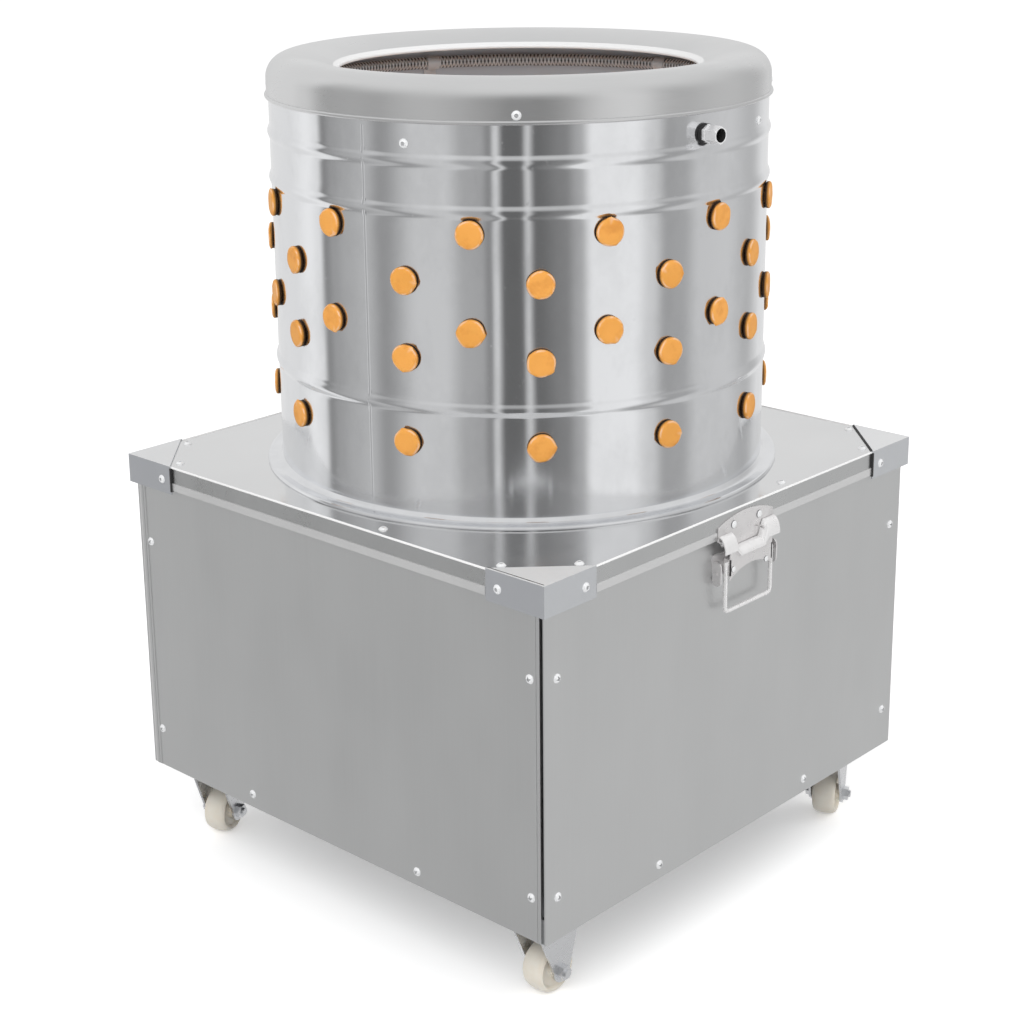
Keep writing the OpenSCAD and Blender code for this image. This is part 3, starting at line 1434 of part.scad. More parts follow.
// Hexagon inlet through the drum's wall, with its socket, its lock nut and the elbow to the hose
module inlet_fitting() {
    inside = drum_r - hose_r + 0.5;
    elbow_d = 14;
    lock_nut_t = 5;
    color(zinc) difference() {
        union() {
            at_inlet() {
                translate([0, 0, inlet_washer_t + tiny]) cylinder(d = inlet_hex, h = inlet_hex_h, $fn = 6);
                translate([0, 0, inlet_washer_t + inlet_hex_h])
                    inlet_body(inlet_len - inlet_washer_t - inlet_hex_h);
                translate([0, 0, -inside])
                    cylinder(d = inlet_thread_d, h = inside + inlet_washer_t + 2 * tiny);
                translate([0, 0, -drum_t - lock_nut_t - gap])
                    cylinder(d = inlet_hex, h = lock_nut_t, $fn = 6);
            }
            rotate([0, 0, inlet_angle]) translate([hose_r, 0, lid_top + inlet_z - elbow_d / 2])
                cylinder(d = elbow_d, h = hose_z - inlet_z + elbow_d);
            rotate([0, 0, inlet_angle]) translate([hose_r, 0, lid_top + hose_z]) rotate([-90, 0, 0])
                cylinder(d = elbow_d, h = hose_joint);
        }
        at_inlet() translate([0, 0, -inside - 1]) cylinder(d = inlet_bore, h = inlet_len + inside + 2);
        at_inlet() translate([0, 0, inlet_len - inlet_socket])
            cylinder(d = inlet_socket_d, h = inlet_socket + 1);
        rotate([0, 0, inlet_angle]) translate([hose_r, 0, lid_top + inlet_z])
            cylinder(d = inlet_bore, h = hose_z - inlet_z);
        rotate([0, 0, inlet_angle]) translate([hose_r, 0, lid_top + hose_z]) rotate([-90, 0, 0])
            cylinder(d = hose_bore, h = hose_joint + cut);
    }
}

module inlet_washer() {
    color(black_rubber) at_inlet() translate([0, 0, tiny])
        ring(9.5, inlet_thread_d / 2 + 0.1, inlet_washer_t - tiny);
}

base_frame();
front_panel();
left_panel();
right_panel();
rear_panel();
panel_screws();
cross_beams();
upper_bearing();
lower_bearing();
mount_bolts();
motor_mount();
motor_body();
motor_fan_cover();
motor_terminal_box();
drive_belt();
feather_chute();
switch_box();
cable_gland();
start_button();
stop_button();
latch_base();
latch_lever();
latch_ring();
latch_strike();
cabinet_hinge_leaves();
hinge_pins();
lid_hinge_leaves();
caster_plates();
caster_bolts();
front_caster_fork();
front_caster_wheel();
front_caster_axle();
left_caster_fork();
left_caster_wheel();
left_caster_axle();
right_caster_fork();
right_caster_wheel();
right_caster_axle();
back_caster_fork();
back_caster_wheel();
back_caster_axle();
motor_shaft();
motor_pulley();
feather_plate();
plate_fingers();
plate_hub();
main_shaft();
driven_pulley();
lid();
lid_stiffener();
corner_braces();
lid_screws();
drum_shell();
rim_cap();
rim_screws();
wall_fingers();
spray_hose();
hose_clips();
inlet_fitting();
inlet_washer();
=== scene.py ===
"""Poultry plucker: finishes, moulded and rolled pieces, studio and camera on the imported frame.

Sizes are in metres and angles in degrees. Heights of the drum's parts are above the lid's top, and
drops of the latch's parts are below it.
"""

import json
import logging
import math
import random
from dataclasses import dataclass, field, replace
from enum import Enum
from typing import Callable, Iterable, Optional, Sequence, Union

import bmesh
import bpy
from mathutils import Matrix, Vector


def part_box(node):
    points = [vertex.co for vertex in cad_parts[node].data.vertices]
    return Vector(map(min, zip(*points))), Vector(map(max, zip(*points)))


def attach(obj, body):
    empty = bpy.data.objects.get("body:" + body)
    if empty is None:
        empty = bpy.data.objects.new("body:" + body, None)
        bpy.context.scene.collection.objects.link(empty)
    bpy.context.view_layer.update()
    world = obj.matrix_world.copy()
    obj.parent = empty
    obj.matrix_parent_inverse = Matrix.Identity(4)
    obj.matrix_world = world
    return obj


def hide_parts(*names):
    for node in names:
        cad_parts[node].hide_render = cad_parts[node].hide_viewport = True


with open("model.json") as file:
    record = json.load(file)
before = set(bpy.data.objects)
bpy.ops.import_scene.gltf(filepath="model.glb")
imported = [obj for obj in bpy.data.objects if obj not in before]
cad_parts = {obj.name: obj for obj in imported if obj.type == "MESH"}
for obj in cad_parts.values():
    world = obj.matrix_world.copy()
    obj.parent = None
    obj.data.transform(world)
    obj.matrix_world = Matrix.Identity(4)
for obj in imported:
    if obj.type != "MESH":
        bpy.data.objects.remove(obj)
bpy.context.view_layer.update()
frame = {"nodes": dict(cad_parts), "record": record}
LOG = logging.getLogger("plucker")

Colour = tuple[float, float, float]
Profile = list[tuple[float, float]]
Sweep = Callable[[float, float, float], float]


class Grain(Enum):
    """Which way a brushed sheet's grain runs, as the stretch of a noise on X, Y and Z."""

    ACROSS_X = (12.0, 900.0, 900.0)
    ACROSS_Y = (900.0, 12.0, 900.0)
    UPRIGHT = (700.0, 700.0, 9.0)
    ROUND = (60.0, 60.0, 1400.0)
    NONE = (220.0, 220.0, 220.0)


class Slot(Enum):
    """The record's material slots that pieces take their finish from."""

    SATIN = "satin_sheet"
    DRUM = "polished_drum"
    CAST = "cast_grey"
    DARK = "dark_steel"
    ZINC = "zinc"
    SHAFT = "bright_shaft"
    FINGER = "finger_rubber"
    BLACK_RUBBER = "black_rubber"
    WHEEL = "wheel_plastic"
    BLACK_PLASTIC = "black_plastic"
    GREEN = "green_plastic"
    RED = "red_plastic"
    HOSE = "braided_hose"
    CHROME = "chrome_fitting"


def srgb(red: float, green: float, blue: float) -> Colour:
    """Turns an sRGB colour of 0 to 255 into the linear one that shaders take.

    Args:
        red: Red, 0 to 255.
        green: Green, 0 to 255.
        blue: Blue, 0 to 255.

    Returns:
        The linear colour, 0 to 1.
    """

    def one(value: float) -> float:
        """One channel to linear."""
        v = value / 255.0
        return v / 12.92 if v <= 0.04045 else ((v + 0.055) / 1.055) ** 2.4

    return one(red), one(green), one(blue)


def toned(colour: Colour, times: float, plus: float = 0.0) -> Colour:
    """A colour made darker or lighter by a factor and an added share, held at 1."""
    return tuple(min(1.0, c * times + plus) for c in colour)


class Weave:
    """Adds nodes and links to one node tree, step by step."""

    def __init__(self, tree: bpy.types.NodeTree) -> None:
        """Keeps the tree and empties it."""
        self.tree = tree
        tree.nodes.clear()

    def add(self, kind: str, inputs: Optional[dict] = None, **props: object) -> bpy.types.Node:
        """Adds one node.

        Args:
            kind: Blender's name of the node type.
            inputs: Values or output sockets, by input name or number.
            props: The node's own settings.

        Returns:
            The new node.
        """
        node = self.tree.nodes.new(kind)
        for name, value in props.items():
            setattr(node, name, value)
        for name, value in (inputs or {}).items():
            self.feed(node.inputs[name], value)
        return node

    def feed(self, socket: bpy.types.NodeSocket, value: object) -> None:
        """Links an output to a socket, or sets the socket's own value.

        Args:
            socket: The input to feed.
            value: An output socket, a number, or a colour of three numbers.
        """
        if isinstance(value, bpy.types.NodeSocket):
            self.tree.links.new(value, socket)
        elif isinstance(value, tuple) and len(value) == 3 and socket.type == "RGBA":
            socket.default_value = (*value, 1.0)
        else:
            socket.default_value = value

    def maths(self, operation: str, first: object, second: object = 0.0) -> bpy.types.NodeSocket:
        """A Math node of one operation, and its output."""
        return self.add("ShaderNodeMath", {0: first, 1: second}, operation=operation).outputs[0]

    def noise(self, vector: bpy.types.NodeSocket, scale: float, detail: float = 2.0,
              rough: float = 0.5) -> bpy.types.NodeSocket:
        """A noise of the given scale, and its grey output."""
        return self.add("ShaderNodeTexNoise", {"Vector": vector, "Scale": scale, "Detail": detail,
                                               "Roughness": rough}).outputs[0]

    def ramp(self, factor: bpy.types.NodeSocket, low: float, high: float,
             to_low: float = 0.0, to_high: float = 1.0) -> bpy.types.NodeSocket:
        """Maps low..high of a value to to_low..to_high, and holds it beyond them."""
        return self.add("ShaderNodeMapRange", {"Value": factor, "From Min": low, "From Max": high,
                                               "To Min": to_low, "To Max": to_high}).outputs[0]

    def spread(self, noise: bpy.types.NodeSocket, to_low: float = 0.0,
               to_high: float = 1.0) -> bpy.types.NodeSocket:
        """Maps the usual range of a noise to to_low..to_high."""
        return self.ramp(noise, 0.3, 0.7, to_low, to_high)

    def streaks(self, place: bpy.types.NodeSocket, scale: Sequence[float], detail: float,
                rough: float) -> bpy.types.NodeSocket:
        """A noise stretched by a scale on each axis, and its grey output."""
        spot = self.add("ShaderNodeMapping", {"Vector": place, "Scale": tuple(scale)}).outputs[0]
        return self.noise(spot, 1.0, detail, rough)

    def blend(self, factor: object, first: object, second: object) -> bpy.types.NodeSocket:
        """Mixes two colours.

        Args:
            factor: Share of the second colour, 0 to 1.
            first: The first colour.
            second: The second colour.

        Returns:
            The mixed colour.
        """
        node = self.tree.nodes.new("ShaderNodeMix")
        node.data_type = "RGBA"
        for index, value in ((0, factor), (6, first), (7, second)):
            self.feed(node.inputs[index], value)
        return node.outputs[2]

    def tint(self) -> bpy.types.NodeSocket:
        """The mesh's own tint: above 0 on pale torn edges, below 0 painted shade in recesses, 0
        elsewhere.
        """
        return self.add("ShaderNodeAttribute", attribute_name="tint").outputs["Fac"]

    def bump(self, height: bpy.types.NodeSocket, strength: float, distance: float,
             under: Optional[bpy.types.NodeSocket] = None) -> bpy.types.NodeSocket:
        """Bumps the surface.

        Args:
            height: What raises it, 0 to 1.
            strength: Share of the bump's effect.
            distance: How far a height of 1 stands out, in metres.
            under: Another bump's normal, which this one goes on top of.

        Returns:
            The new normal.
        """
        inputs: dict = {"Height": height, "Strength": strength, "Distance": distance}
        if under is not None:
            inputs["Normal"] = under
        return self.add("ShaderNodeBump", inputs).outputs[0]

    def surface(self, shader: bpy.types.Node, base: object, rough: object,
                normal: bpy.types.NodeSocket, metal: object = 0.0) -> None:
        """Feeds a Principled shader.

        Args:
            shader: The shader.
            base: Its colour.
            rough: Its roughness.
            normal: Its bumped normal.
            metal: How much of it is bare metal.
        """
        for name, value in (("Base Color", base), ("Roughness", rough), ("Metallic", metal),
                            ("Normal", normal)):
            self.feed(shader.inputs[name], value)


def new_shader(name: str) -> tuple[bpy.types.Material, Weave, bpy.types.Node, bpy.types.NodeSocket]:
    """Starts a material.

    Args:
        name: The material's name.

    Returns:
        The material, its weave, its Principled shader and the object coordinates.
    """
    material = bpy.data.materials.new(name)
    material.use_nodes = True
    weave = Weave(material.node_tree)
    shader = weave.add("ShaderNodeBsdfPrincipled")
    weave.add("ShaderNodeOutputMaterial", {"Surface": shader.outputs[0]})
    place = weave.add("ShaderNodeTexCoord").outputs["Object"]
    return material, weave, shader, place


def let_light_in(shader: bpy.types.Node, share: float, depths: Colour) -> None:
    """Lets a moulded piece carry some light under its skin.

    Args:
        shader: The piece's Principled shader.
        share: How much of the light goes in; nothing is set at 0.
        depths: How deep red, green and blue go, in metres.
    """
    if share > 0.0:
        shader.inputs["Subsurface Weight"].default_value = share
        shader.inputs["Subsurface Radius"].default_value = depths
        shader.inputs["Subsurface Scale"].default_value = 1.0


@dataclass(frozen=True)
class BrushedSheet:
    """Stainless sheet: a fine grain one way, soft cloudy wipe marks and a few scuffs."""

    name: str
    colour: Colour
    roughness: float
    grain: Grain
    grain_depth: float = 0.00002
    clouds: float = 0.05
    scuffs: float = 0.06
    metal: float = 1.0

    def build(self) -> bpy.types.Material:
        """Makes the material.

        Returns:
            The material, with its nodes.
        """
        material, weave, shader, place = new_shader(self.name)
        grain = weave.streaks(place, self.grain.value, 3.0, 0.6)
        cloud = weave.noise(place, 5.0, 3.0, 0.55)
        wipe = weave.streaks(place, (14.0, 14.0, 5.0), 2.0, 0.6)
        scuff = weave.ramp(weave.streaks(place, (90.0, 40.0, 160.0), 5.0, 0.75), 0.62, 0.78)
        tone = weave.maths("ADD", weave.spread(cloud, -self.clouds, self.clouds),
                           weave.spread(grain, -0.02, 0.02))
        dark, light = toned(self.colour, 0.72), toned(self.colour, 1.28)
        base = weave.blend(weave.maths("ADD", tone, 0.5), dark, light)
        base = weave.blend(weave.maths("MULTIPLY", scuff, self.scuffs), base, light)
        rough = weave.maths("ADD", weave.spread(wipe, -0.05, 0.06), self.roughness)
        rough = weave.maths("ADD", rough, weave.spread(grain, -0.03, 0.03))
        soft = weave.bump(cloud, 0.12, 0.002)
        weave.surface(shader, base, rough, weave.bump(grain, 0.35, self.grain_depth, soft), self.metal)
        return material


@dataclass(frozen=True)
class RolledMirror:
    """Polished sheet rolled into a drum: wavy, with dull patches.

    The grain runs round the drum, so it smears what the sheet reflects upright.
    """

    name: str
    colour: Colour
    roughness: float

    def build(self) -> bpy.types.Material:
        """Makes the material.

        Returns:
            The material, with its nodes.
        """
        material, weave, shader, place = new_shader(self.name)
        wave = weave.streaks(place, (7.0, 7.0, 4.0), 1.0, 0.4)
        ripple = weave.streaks(place, (26.0, 26.0, 9.0), 1.0, 0.5)
        rolled = weave.streaks(place, (30.0, 30.0, 1800.0), 2.0, 0.6)
        haze = weave.ramp(weave.streaks(place, (16.0, 16.0, 11.0), 5.0, 0.68), 0.45, 0.75)
        spots = weave.ramp(weave.noise(place, 210.0, 2.0, 0.5), 0.69, 0.75)
        rough = weave.maths("ADD", weave.ramp(haze, 0.0, 1.0, -0.015, 0.03), self.roughness)
        rough = weave.maths("ADD", rough, weave.maths("MULTIPLY", spots, 0.12))
        shader.inputs["Anisotropic"].default_value = 0.97
        shader.inputs["Anisotropic Rotation"].default_value = 0.25
        round_way = weave.add("ShaderNodeTangent", direction_type="RADIAL", axis="Z").outputs[0]
        weave.feed(shader.inputs["Tangent"], round_way)
        light = toned(self.colour, 1.03)
        base = weave.blend(haze, light, toned(self.colour, 0.93))
        base = weave.blend(weave.maths("MULTIPLY", spots, 0.4), base, light)
        low = weave.bump(wave, 0.5, 0.0022)
        mid = weave.bump(ripple, 0.25, 0.0003, low)
        weave.surface(shader, base, rough, weave.bump(rolled, 0.2, 0.00002, mid), 1.0)
        return material


@dataclass(frozen=True)
class PlatedSteel:
    """Zinc or chrome plate on pressed steel, with a mottled bloom and small nicks."""

    name: str
    colour: Colour
    roughness: float
    bloom: float = 0.12
    metal: float = 1.0
    nicks: float = 0.35

    def build(self) -> bpy.types.Material:
        """Makes the material.

        Returns:
            The material, with its nodes.
        """
        material, weave, shader, place = new_shader(self.name)
        bloom = weave.noise(place, 85.0, 4.0, 0.6)
        nicks = weave.ramp(weave.noise(place, 520.0, 2.0, 0.5), 0.66, 0.74)
        dark = toned(self.colour, 1.0 - self.bloom)
        base = weave.blend(weave.ramp(bloom, 0.35, 0.65), dark, self.colour)
        base = weave.blend(weave.maths("MULTIPLY", nicks, self.nicks), base, toned(self.colour, 0.55))
        # Painted shade: where the tint is below 0, as in the screw heads' recesses, the colour goes to
        # near black.
        base = weave.blend(weave.ramp(weave.tint(), -1.0, 0.0, 0.8, 0.0), base, (0.16, 0.16, 0.17))
        rough = weave.maths("ADD", weave.spread(bloom, -0.06, 0.08), self.roughness)
        weave.surface(shader, base, rough, weave.bump(bloom, 0.15, 0.0002), self.metal)
        return material


@dataclass(frozen=True)
class TurnedSteel:
    """Steel turned on a lathe, with fine rings round its axis."""

    name: str
    colour: Colour
    roughness: float

    def build(self) -> bpy.types.Material:
        """Makes the material.

        Returns:
            The material, with its nodes.
        """
        material, weave, shader, place = new_shader(self.name)
        rings = weave.streaks(place, (20.0, 20.0, 2600.0), 2.0, 0.6)
        oil = weave.noise(place, 40.0, 3.0, 0.6)
        base = weave.blend(weave.ramp(oil, 0.4, 0.62), self.colour, toned(self.colour, 0.72))
        rough = weave.maths("ADD", weave.spread(rings, -0.06, 0.06), self.roughness)
        weave.surface(shader, base, rough, weave.bump(rings, 0.4, 0.00003), 1.0)
        return material


@dataclass(frozen=True)
class PaintedMetal:
    """Enamel on a casting or on structural steel, with orange peel and chips."""

    name: str
    colour: Colour
    roughness: float
    peel: float = 0.0003
    chips: float = 0.3

    def build(self) -> bpy.types.Material:
        """Makes the material.

        Returns:
            The material, with its nodes.
        """
        material, weave, shader, place = new_shader(self.name)
        peel = weave.noise(place, 380.0, 2.0, 0.5)
        dust = weave.noise(place, 22.0, 4.0, 0.62)
        chips = weave.ramp(weave.noise(place, 130.0, 5.0, 0.7), 0.70, 0.73)
        base = weave.blend(weave.ramp(dust, 0.35, 0.7, 0.0, 0.35), self.colour,
                           toned(self.colour, 0.7, 0.12))
        base = weave.blend(weave.maths("MULTIPLY", chips, self.chips), base, (0.35, 0.34, 0.33))
        rough = weave.maths("ADD", weave.spread(dust, -0.05, 0.14), self.roughness)
        weave.surface(shader, base, rough, weave.bump(peel, 0.4, self.peel))
        return material


@dataclass(frozen=True)
class MouldedRubber:
    """Moulded rubber: a fine skin, grime blotches, paler worn places and painted shade in hollows."""

    name: str
    colour: Colour
    grime: Colour
    roughness: float
    skin: float = 0.00012
    glow: float = 0.0

    def build(self) -> bpy.types.Material:
        """Makes the material.

        Returns:
            The material, with its nodes.
        """
        material, weave, shader, place = new_shader(self.name)
        skin = weave.noise(place, 900.0, 3.0, 0.6)
        blotch = weave.noise(place, 65.0, 3.0, 0.6)
        wide = weave.noise(place, 14.0, 2.0, 0.5)
        base = weave.blend(weave.spread(wide), self.colour, toned(self.colour, 1.12, 0.015))
        base = weave.blend(weave.ramp(blotch, 0.52, 0.75, 0.0, 0.45), base, self.grime)
        tint = weave.tint()
        base = weave.blend(weave.ramp(tint, 0.0, 1.0, 0.0, 0.75), base, toned(self.colour, 0.6, 0.4))
        # Painted shade: where the tint is below 0, the colour goes to nearly black.
        base = weave.blend(weave.ramp(tint, -1.0, 0.0, 0.97, 0.0), base, toned(self.grime, 0.03))
        rough = weave.maths("ADD", weave.spread(blotch, -0.06, 0.1), self.roughness)
        let_light_in(shader, self.glow, (0.004, 0.002, 0.001))
        soft = weave.bump(blotch, 0.25, 0.0006)
        weave.surface(shader, base, rough, weave.bump(skin, 0.4, self.skin, soft))
        return material


@dataclass(frozen=True)
class MouldedPlastic:
    """Injection-moulded plastic with a fine spark grain and slight yellowing or dust."""

    name: str
    colour: Colour
    roughness: float
    stain: Colour
    stain_share: float = 0.2
    glow: float = 0.0

    def build(self) -> bpy.types.Material:
        """Makes the material.

        Returns:
            The material, with its nodes.
        """
        material, weave, shader, place = new_shader(self.name)
        grain = weave.noise(place, 1100.0, 2.0, 0.5)
        stain = weave.noise(place, 48.0, 4.0, 0.6)
        base = weave.blend(weave.ramp(stain, 0.4, 0.75, 0.0, self.stain_share), self.colour, self.stain)
        rough = weave.maths("ADD", weave.spread(stain, -0.04, 0.1), self.roughness)
        let_light_in(shader, self.glow, (0.004, 0.003, 0.002))
        weave.surface(shader, base, rough, weave.bump(grain, 0.3, 0.00008))
        return material


@dataclass(frozen=True)
class SteelBraid:
    """Steel wire braid over a hose, drawn on the hose's own UV map."""

    name: str
    wire: Colour
    gap: Colour

    def strands(self, weave: Weave, uv: bpy.types.NodeSocket, lean: float) -> bpy.types.NodeSocket:
        """One family of strands, which runs slantwise round the hose.

        Args:
            weave: The material's weave.
            uv: The hose's own map: pitches along it, and turns round it.
            lean: Pitches that a strand moves along the hose in one turn.

        Returns:
            The strands' height, 0 to 1.
        """
        parts = weave.add("ShaderNodeSeparateXYZ", {0: uv})
        slant = weave.maths("ADD", parts.outputs[0], weave.maths("MULTIPLY", parts.outputs[1], lean))
        wave = weave.maths("SINE", weave.maths("MULTIPLY", slant, math.tau))
        return weave.ramp(wave, -0.6, 0.9)

    def build(self) -> bpy.types.Material:
        """Makes the material.

        Returns:
            The material, with its nodes.
        """
        material, weave, shader, place = new_shader(self.name)
        uv = weave.add("ShaderNodeUVMap", uv_map="braid").outputs[0]
        height = weave.maths("MAXIMUM", self.strands(weave, uv, 3.0), self.strands(weave, uv, -3.0))
        tarnish = weave.noise(place, 60.0, 3.0, 0.6)
        wire = weave.blend(weave.ramp(tarnish, 0.35, 0.65), self.wire, toned(self.wire, 0.8))
        weave.surface(shader, weave.blend(height, self.gap, wire), 0.32, weave.bump(height, 0.9, 0.0008),
                      weave.ramp(height, 0.2, 0.5, 0.0, 0.55))
        return material


Finish = Union[BrushedSheet, RolledMirror, PlatedSteel, TurnedSteel, PaintedMetal, MouldedRubber,
               MouldedPlastic, SteelBraid]


class FinishShelf:
    """Makes each finish once, and hands it out by its slot."""

    def __init__(self) -> None:
        """Sets up the finishes of the plucker."""
        self.recipes: dict[Slot, Finish] = {
            Slot.SATIN: BrushedSheet("satin_upright", srgb(196, 197, 199), 0.34, Grain.UPRIGHT),
            Slot.DRUM: RolledMirror("rolled_drum", srgb(236, 237, 239), 0.125),
            Slot.CAST: PaintedMetal("cast_grey_enamel", srgb(112, 118, 124), 0.42),
            Slot.DARK: PaintedMetal("dark_enamel", srgb(62, 64, 67), 0.48),
            Slot.ZINC: PlatedSteel("bright_zinc", srgb(238, 239, 241), 0.27, bloom=0.07),
            Slot.SHAFT: TurnedSteel("turned_steel", srgb(205, 206, 208), 0.22),
            Slot.FINGER: MouldedRubber("finger_rubber", srgb(219, 151, 62), srgb(190, 116, 42), 0.5,
                                       glow=0.06),
            Slot.BLACK_RUBBER: MouldedRubber("black_rubber", srgb(34, 34, 35), srgb(60, 58, 56), 0.62),
            Slot.WHEEL: MouldedPlastic("wheel_nylon", srgb(222, 217, 206), 0.34, srgb(214, 199, 176),
                                       stain_share=0.5, glow=0.1),
            Slot.BLACK_PLASTIC: MouldedPlastic("black_plastic", srgb(36, 37, 39), 0.5, srgb(70, 70, 70)),
            Slot.GREEN: MouldedPlastic("green_button", srgb(36, 142, 66), 0.3, srgb(60, 150, 90)),
            Slot.RED: MouldedPlastic("red_button", srgb(196, 32, 28), 0.3, srgb(180, 60, 50)),
            Slot.HOSE: SteelBraid("steel_braid", srgb(240, 241, 243), srgb(66, 67, 70)),
            Slot.CHROME: PlatedSteel("chrome_fitting", srgb(232, 233, 235), 0.09, bloom=0.05),
        }
        self.made: dict[str, bpy.types.Material] = {}

    def get(self, slot: Slot) -> bpy.types.Material:
        """The usual material of a slot."""
        return self.special(self.recipes[slot])

    def special(self, recipe: Finish) -> bpy.types.Material:
        """The material of any recipe, which is made once.

        Args:
            recipe: The finish.

        Returns:
            Its material.
        """
        if recipe.name not in self.made:
            self.made[recipe.name] = recipe.build()
        return self.made[recipe.name]


SHELF = FinishShelf()
LID_SHEET = BrushedSheet("satin_lid", srgb(236, 237, 238), 0.15, Grain.ACROSS_X,
                         grain_depth=0.000006, clouds=0.04, scuffs=0.08)
CAP_SHEET = BrushedSheet("satin_cap", srgb(229, 230, 231), 0.34, Grain.ROUND,
                         grain_depth=0.000005, clouds=0.04, scuffs=0.1)
# Painted shade: a darker copy of the lid's sheet for its upright lip.
LIP_PAINTED_SHADE = BrushedSheet("satin_lip", srgb(214, 215, 215), 0.3, Grain.NONE,
                         grain_depth=0.000006, clouds=0.04)
# Painted light: a lighter copy of the sheet, as painted reflection on the lid's hem and painted highlight
# on the corner fold.
HEM_PAINTED_LIGHT = BrushedSheet("satin_hem", srgb(246, 246, 246), 0.36, Grain.NONE,
                         grain_depth=0.000006, clouds=0.04, metal=0.8)
# Painted highlight: a near-white, barely metallic finish for edges that should gleam.
EDGE_PAINTED_HIGHLIGHT = BrushedSheet("bright_edge", srgb(242, 242, 242), 0.4, Grain.NONE,
                         grain_depth=0.000005, clouds=0.02, scuffs=0.02, metal=0.1)
BRACE_SHEET = BrushedSheet("satin_brace", srgb(224, 226, 229), 0.55, Grain.NONE,
                           grain_depth=0.00001, clouds=0.03, metal=0.86)
# Painted shade: a darker copy of the brace sheet for the faces that look to -X.
BRACE_SIDE_PAINTED_SHADE = replace(BRACE_SHEET, name="satin_brace_side", colour=srgb(205, 207, 211))
# Painted light: a lighter, less metallic copy of the brace sheet for the braces' tops.
BRACE_TOP_PAINTED_LIGHT = replace(BRACE_SHEET, name="satin_brace_top", colour=srgb(228, 229, 231), metal=0.4)
PANEL_SHEET = BrushedSheet("satin_panel", srgb(228, 229, 229), 0.4, Grain.UPRIGHT,
                           grain_depth=0.000008, clouds=0.03, scuffs=0.04)
CHUTE_SHEET = BrushedSheet("satin_chute", srgb(206, 207, 209), 0.3, Grain.ACROSS_Y)
BORE_SHEET = BrushedSheet("dull_bore", srgb(205, 209, 215), 0.42, Grain.ROUND,
                          grain_depth=0.00001, scuffs=0.1, metal=0.6)
HEAD_PLATE = PlatedSteel("white_plate", srgb(246, 247, 248), 0.36, bloom=0.04, metal=0.35)
LATCH_PLATE = PlatedSteel("latch_plate", srgb(240, 238, 238), 0.3, bloom=0.06, metal=0.75, nicks=0.1)
# Painted light: a less metallic copy of the latch plate, which reads brighter, for the lever's hook.
LATCH_HOOK_PAINTED_LIGHT = PlatedSteel("latch_hook", srgb(241, 240, 240), 0.32, bloom=0.05, metal=0.45, nicks=0.08)
RING_WIRE = PlatedSteel("ring_wire", srgb(244, 243, 243), 0.26, bloom=0.04, metal=0.5, nicks=0.05)
CLIP_PLATE = PlatedSteel("clip_plate", srgb(214, 215, 217), 0.5, bloom=0.05, metal=0.3, nicks=0.05)
# Painted shade: a dark ring at the foot of each latch rivet.
RIVET_FOOT_PAINTED_SHADE = PlatedSteel("rivet_foot", srgb(120, 120, 122), 0.5, bloom=0.05, metal=0.5, nicks=0.0)
INLET_PLATE = PlatedSteel("inlet_plate", srgb(248, 248, 249), 0.2, bloom=0.06, metal=0.55)


def stand(name: str, data: bpy.types.ID) -> bpy.types.Object:
    """Puts a mesh, lamp or camera into the scene.

    Args:
        name: The new object's name.
        data: What it holds.

    Returns:
        The new object, at the origin.
    """
    thing = bpy.data.objects.new(name, data)
    bpy.context.scene.collection.objects.link(thing)
    return thing


def discard(things: Iterable[bpy.types.Object]) -> None:
    """Removes objects that only helped to make others."""
    for thing in things:
        bpy.data.objects.remove(thing)


def keep(name: str, mesh: bpy.types.Mesh, body: str, material: bpy.types.Material,
         nodes: Iterable[str] = ()) -> bpy.types.Object:
    """Turns a finished mesh into a piece of the object.

    Args:
        name: The piece's name.
        mesh: Its mesh, in place in the frame.
        body: The CAD body that it rides on.
        material: The material it wears.
        nodes: The CAD nodes that it stands for.

    Returns:
        The new object.
    """
    mesh.materials.clear()
    mesh.materials.append(material)
    piece = stand(name, mesh)
    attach(piece, body)
    if nodes:
        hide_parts(*nodes)
    LOG.info("%s: %d faces on %s", name, len(mesh.polygons), body)
    return piece


def plain_mesh(source: bpy.types.Object, name: str) -> bpy.types.Mesh:
    """Turns an object with live modifiers into a plain mesh, and removes the object.

    Args:
        source: The object, which is deleted.
        name: The new mesh's name.

    Returns:
        The evaluated mesh.
    """
    bpy.context.view_layer.update()
    graph = bpy.context.evaluated_depsgraph_get()
    mesh = bpy.data.meshes.new_from_object(source.evaluated_get(graph), depsgraph=graph)
    mesh.name = name
    source.modifiers.clear()
    discard((source,))
    return mesh


def smooth(mesh: bpy.types.Mesh, angle: float = 32.0) -> bpy.types.Mesh:
    """Shades a mesh smooth.

    Args:
        mesh: The mesh to shade.
        angle: An edge that turns by more than this, in degrees, stays sharp.

    Returns:
        The same mesh.
    """
    for face in mesh.polygons:
        face.use_smooth = True
    mesh.set_sharp_from_angle(angle=math.radians(angle))
    return mesh


def on_ring(radius: float, degrees: float, height: float = 0.0) -> Vector:
    """A place at a radius and an angle round the Z axis, at a height."""
    angle = math.radians(degrees)
    return Vector((radius * math.cos(angle), radius * math.sin(angle), height))


def arc(centre: tuple[float, float], radius: float, start: float, end: float, steps: int) -> Profile:
    """Points along part of a circle.

    Args:
        centre: The circle's middle.
        radius: Its radius.
        start: Angle of the first point, in degrees from the first axis.
        end: Angle of the last point.
        steps: Steps from the first to the last.

    Returns:
        The points, both ends included.
    """
    angles = [math.radians(start + (end - start) * step / steps) for step in range(steps + 1)]
    return [(centre[0] + radius * math.cos(a), centre[1] + radius * math.sin(a)) for a in angles]


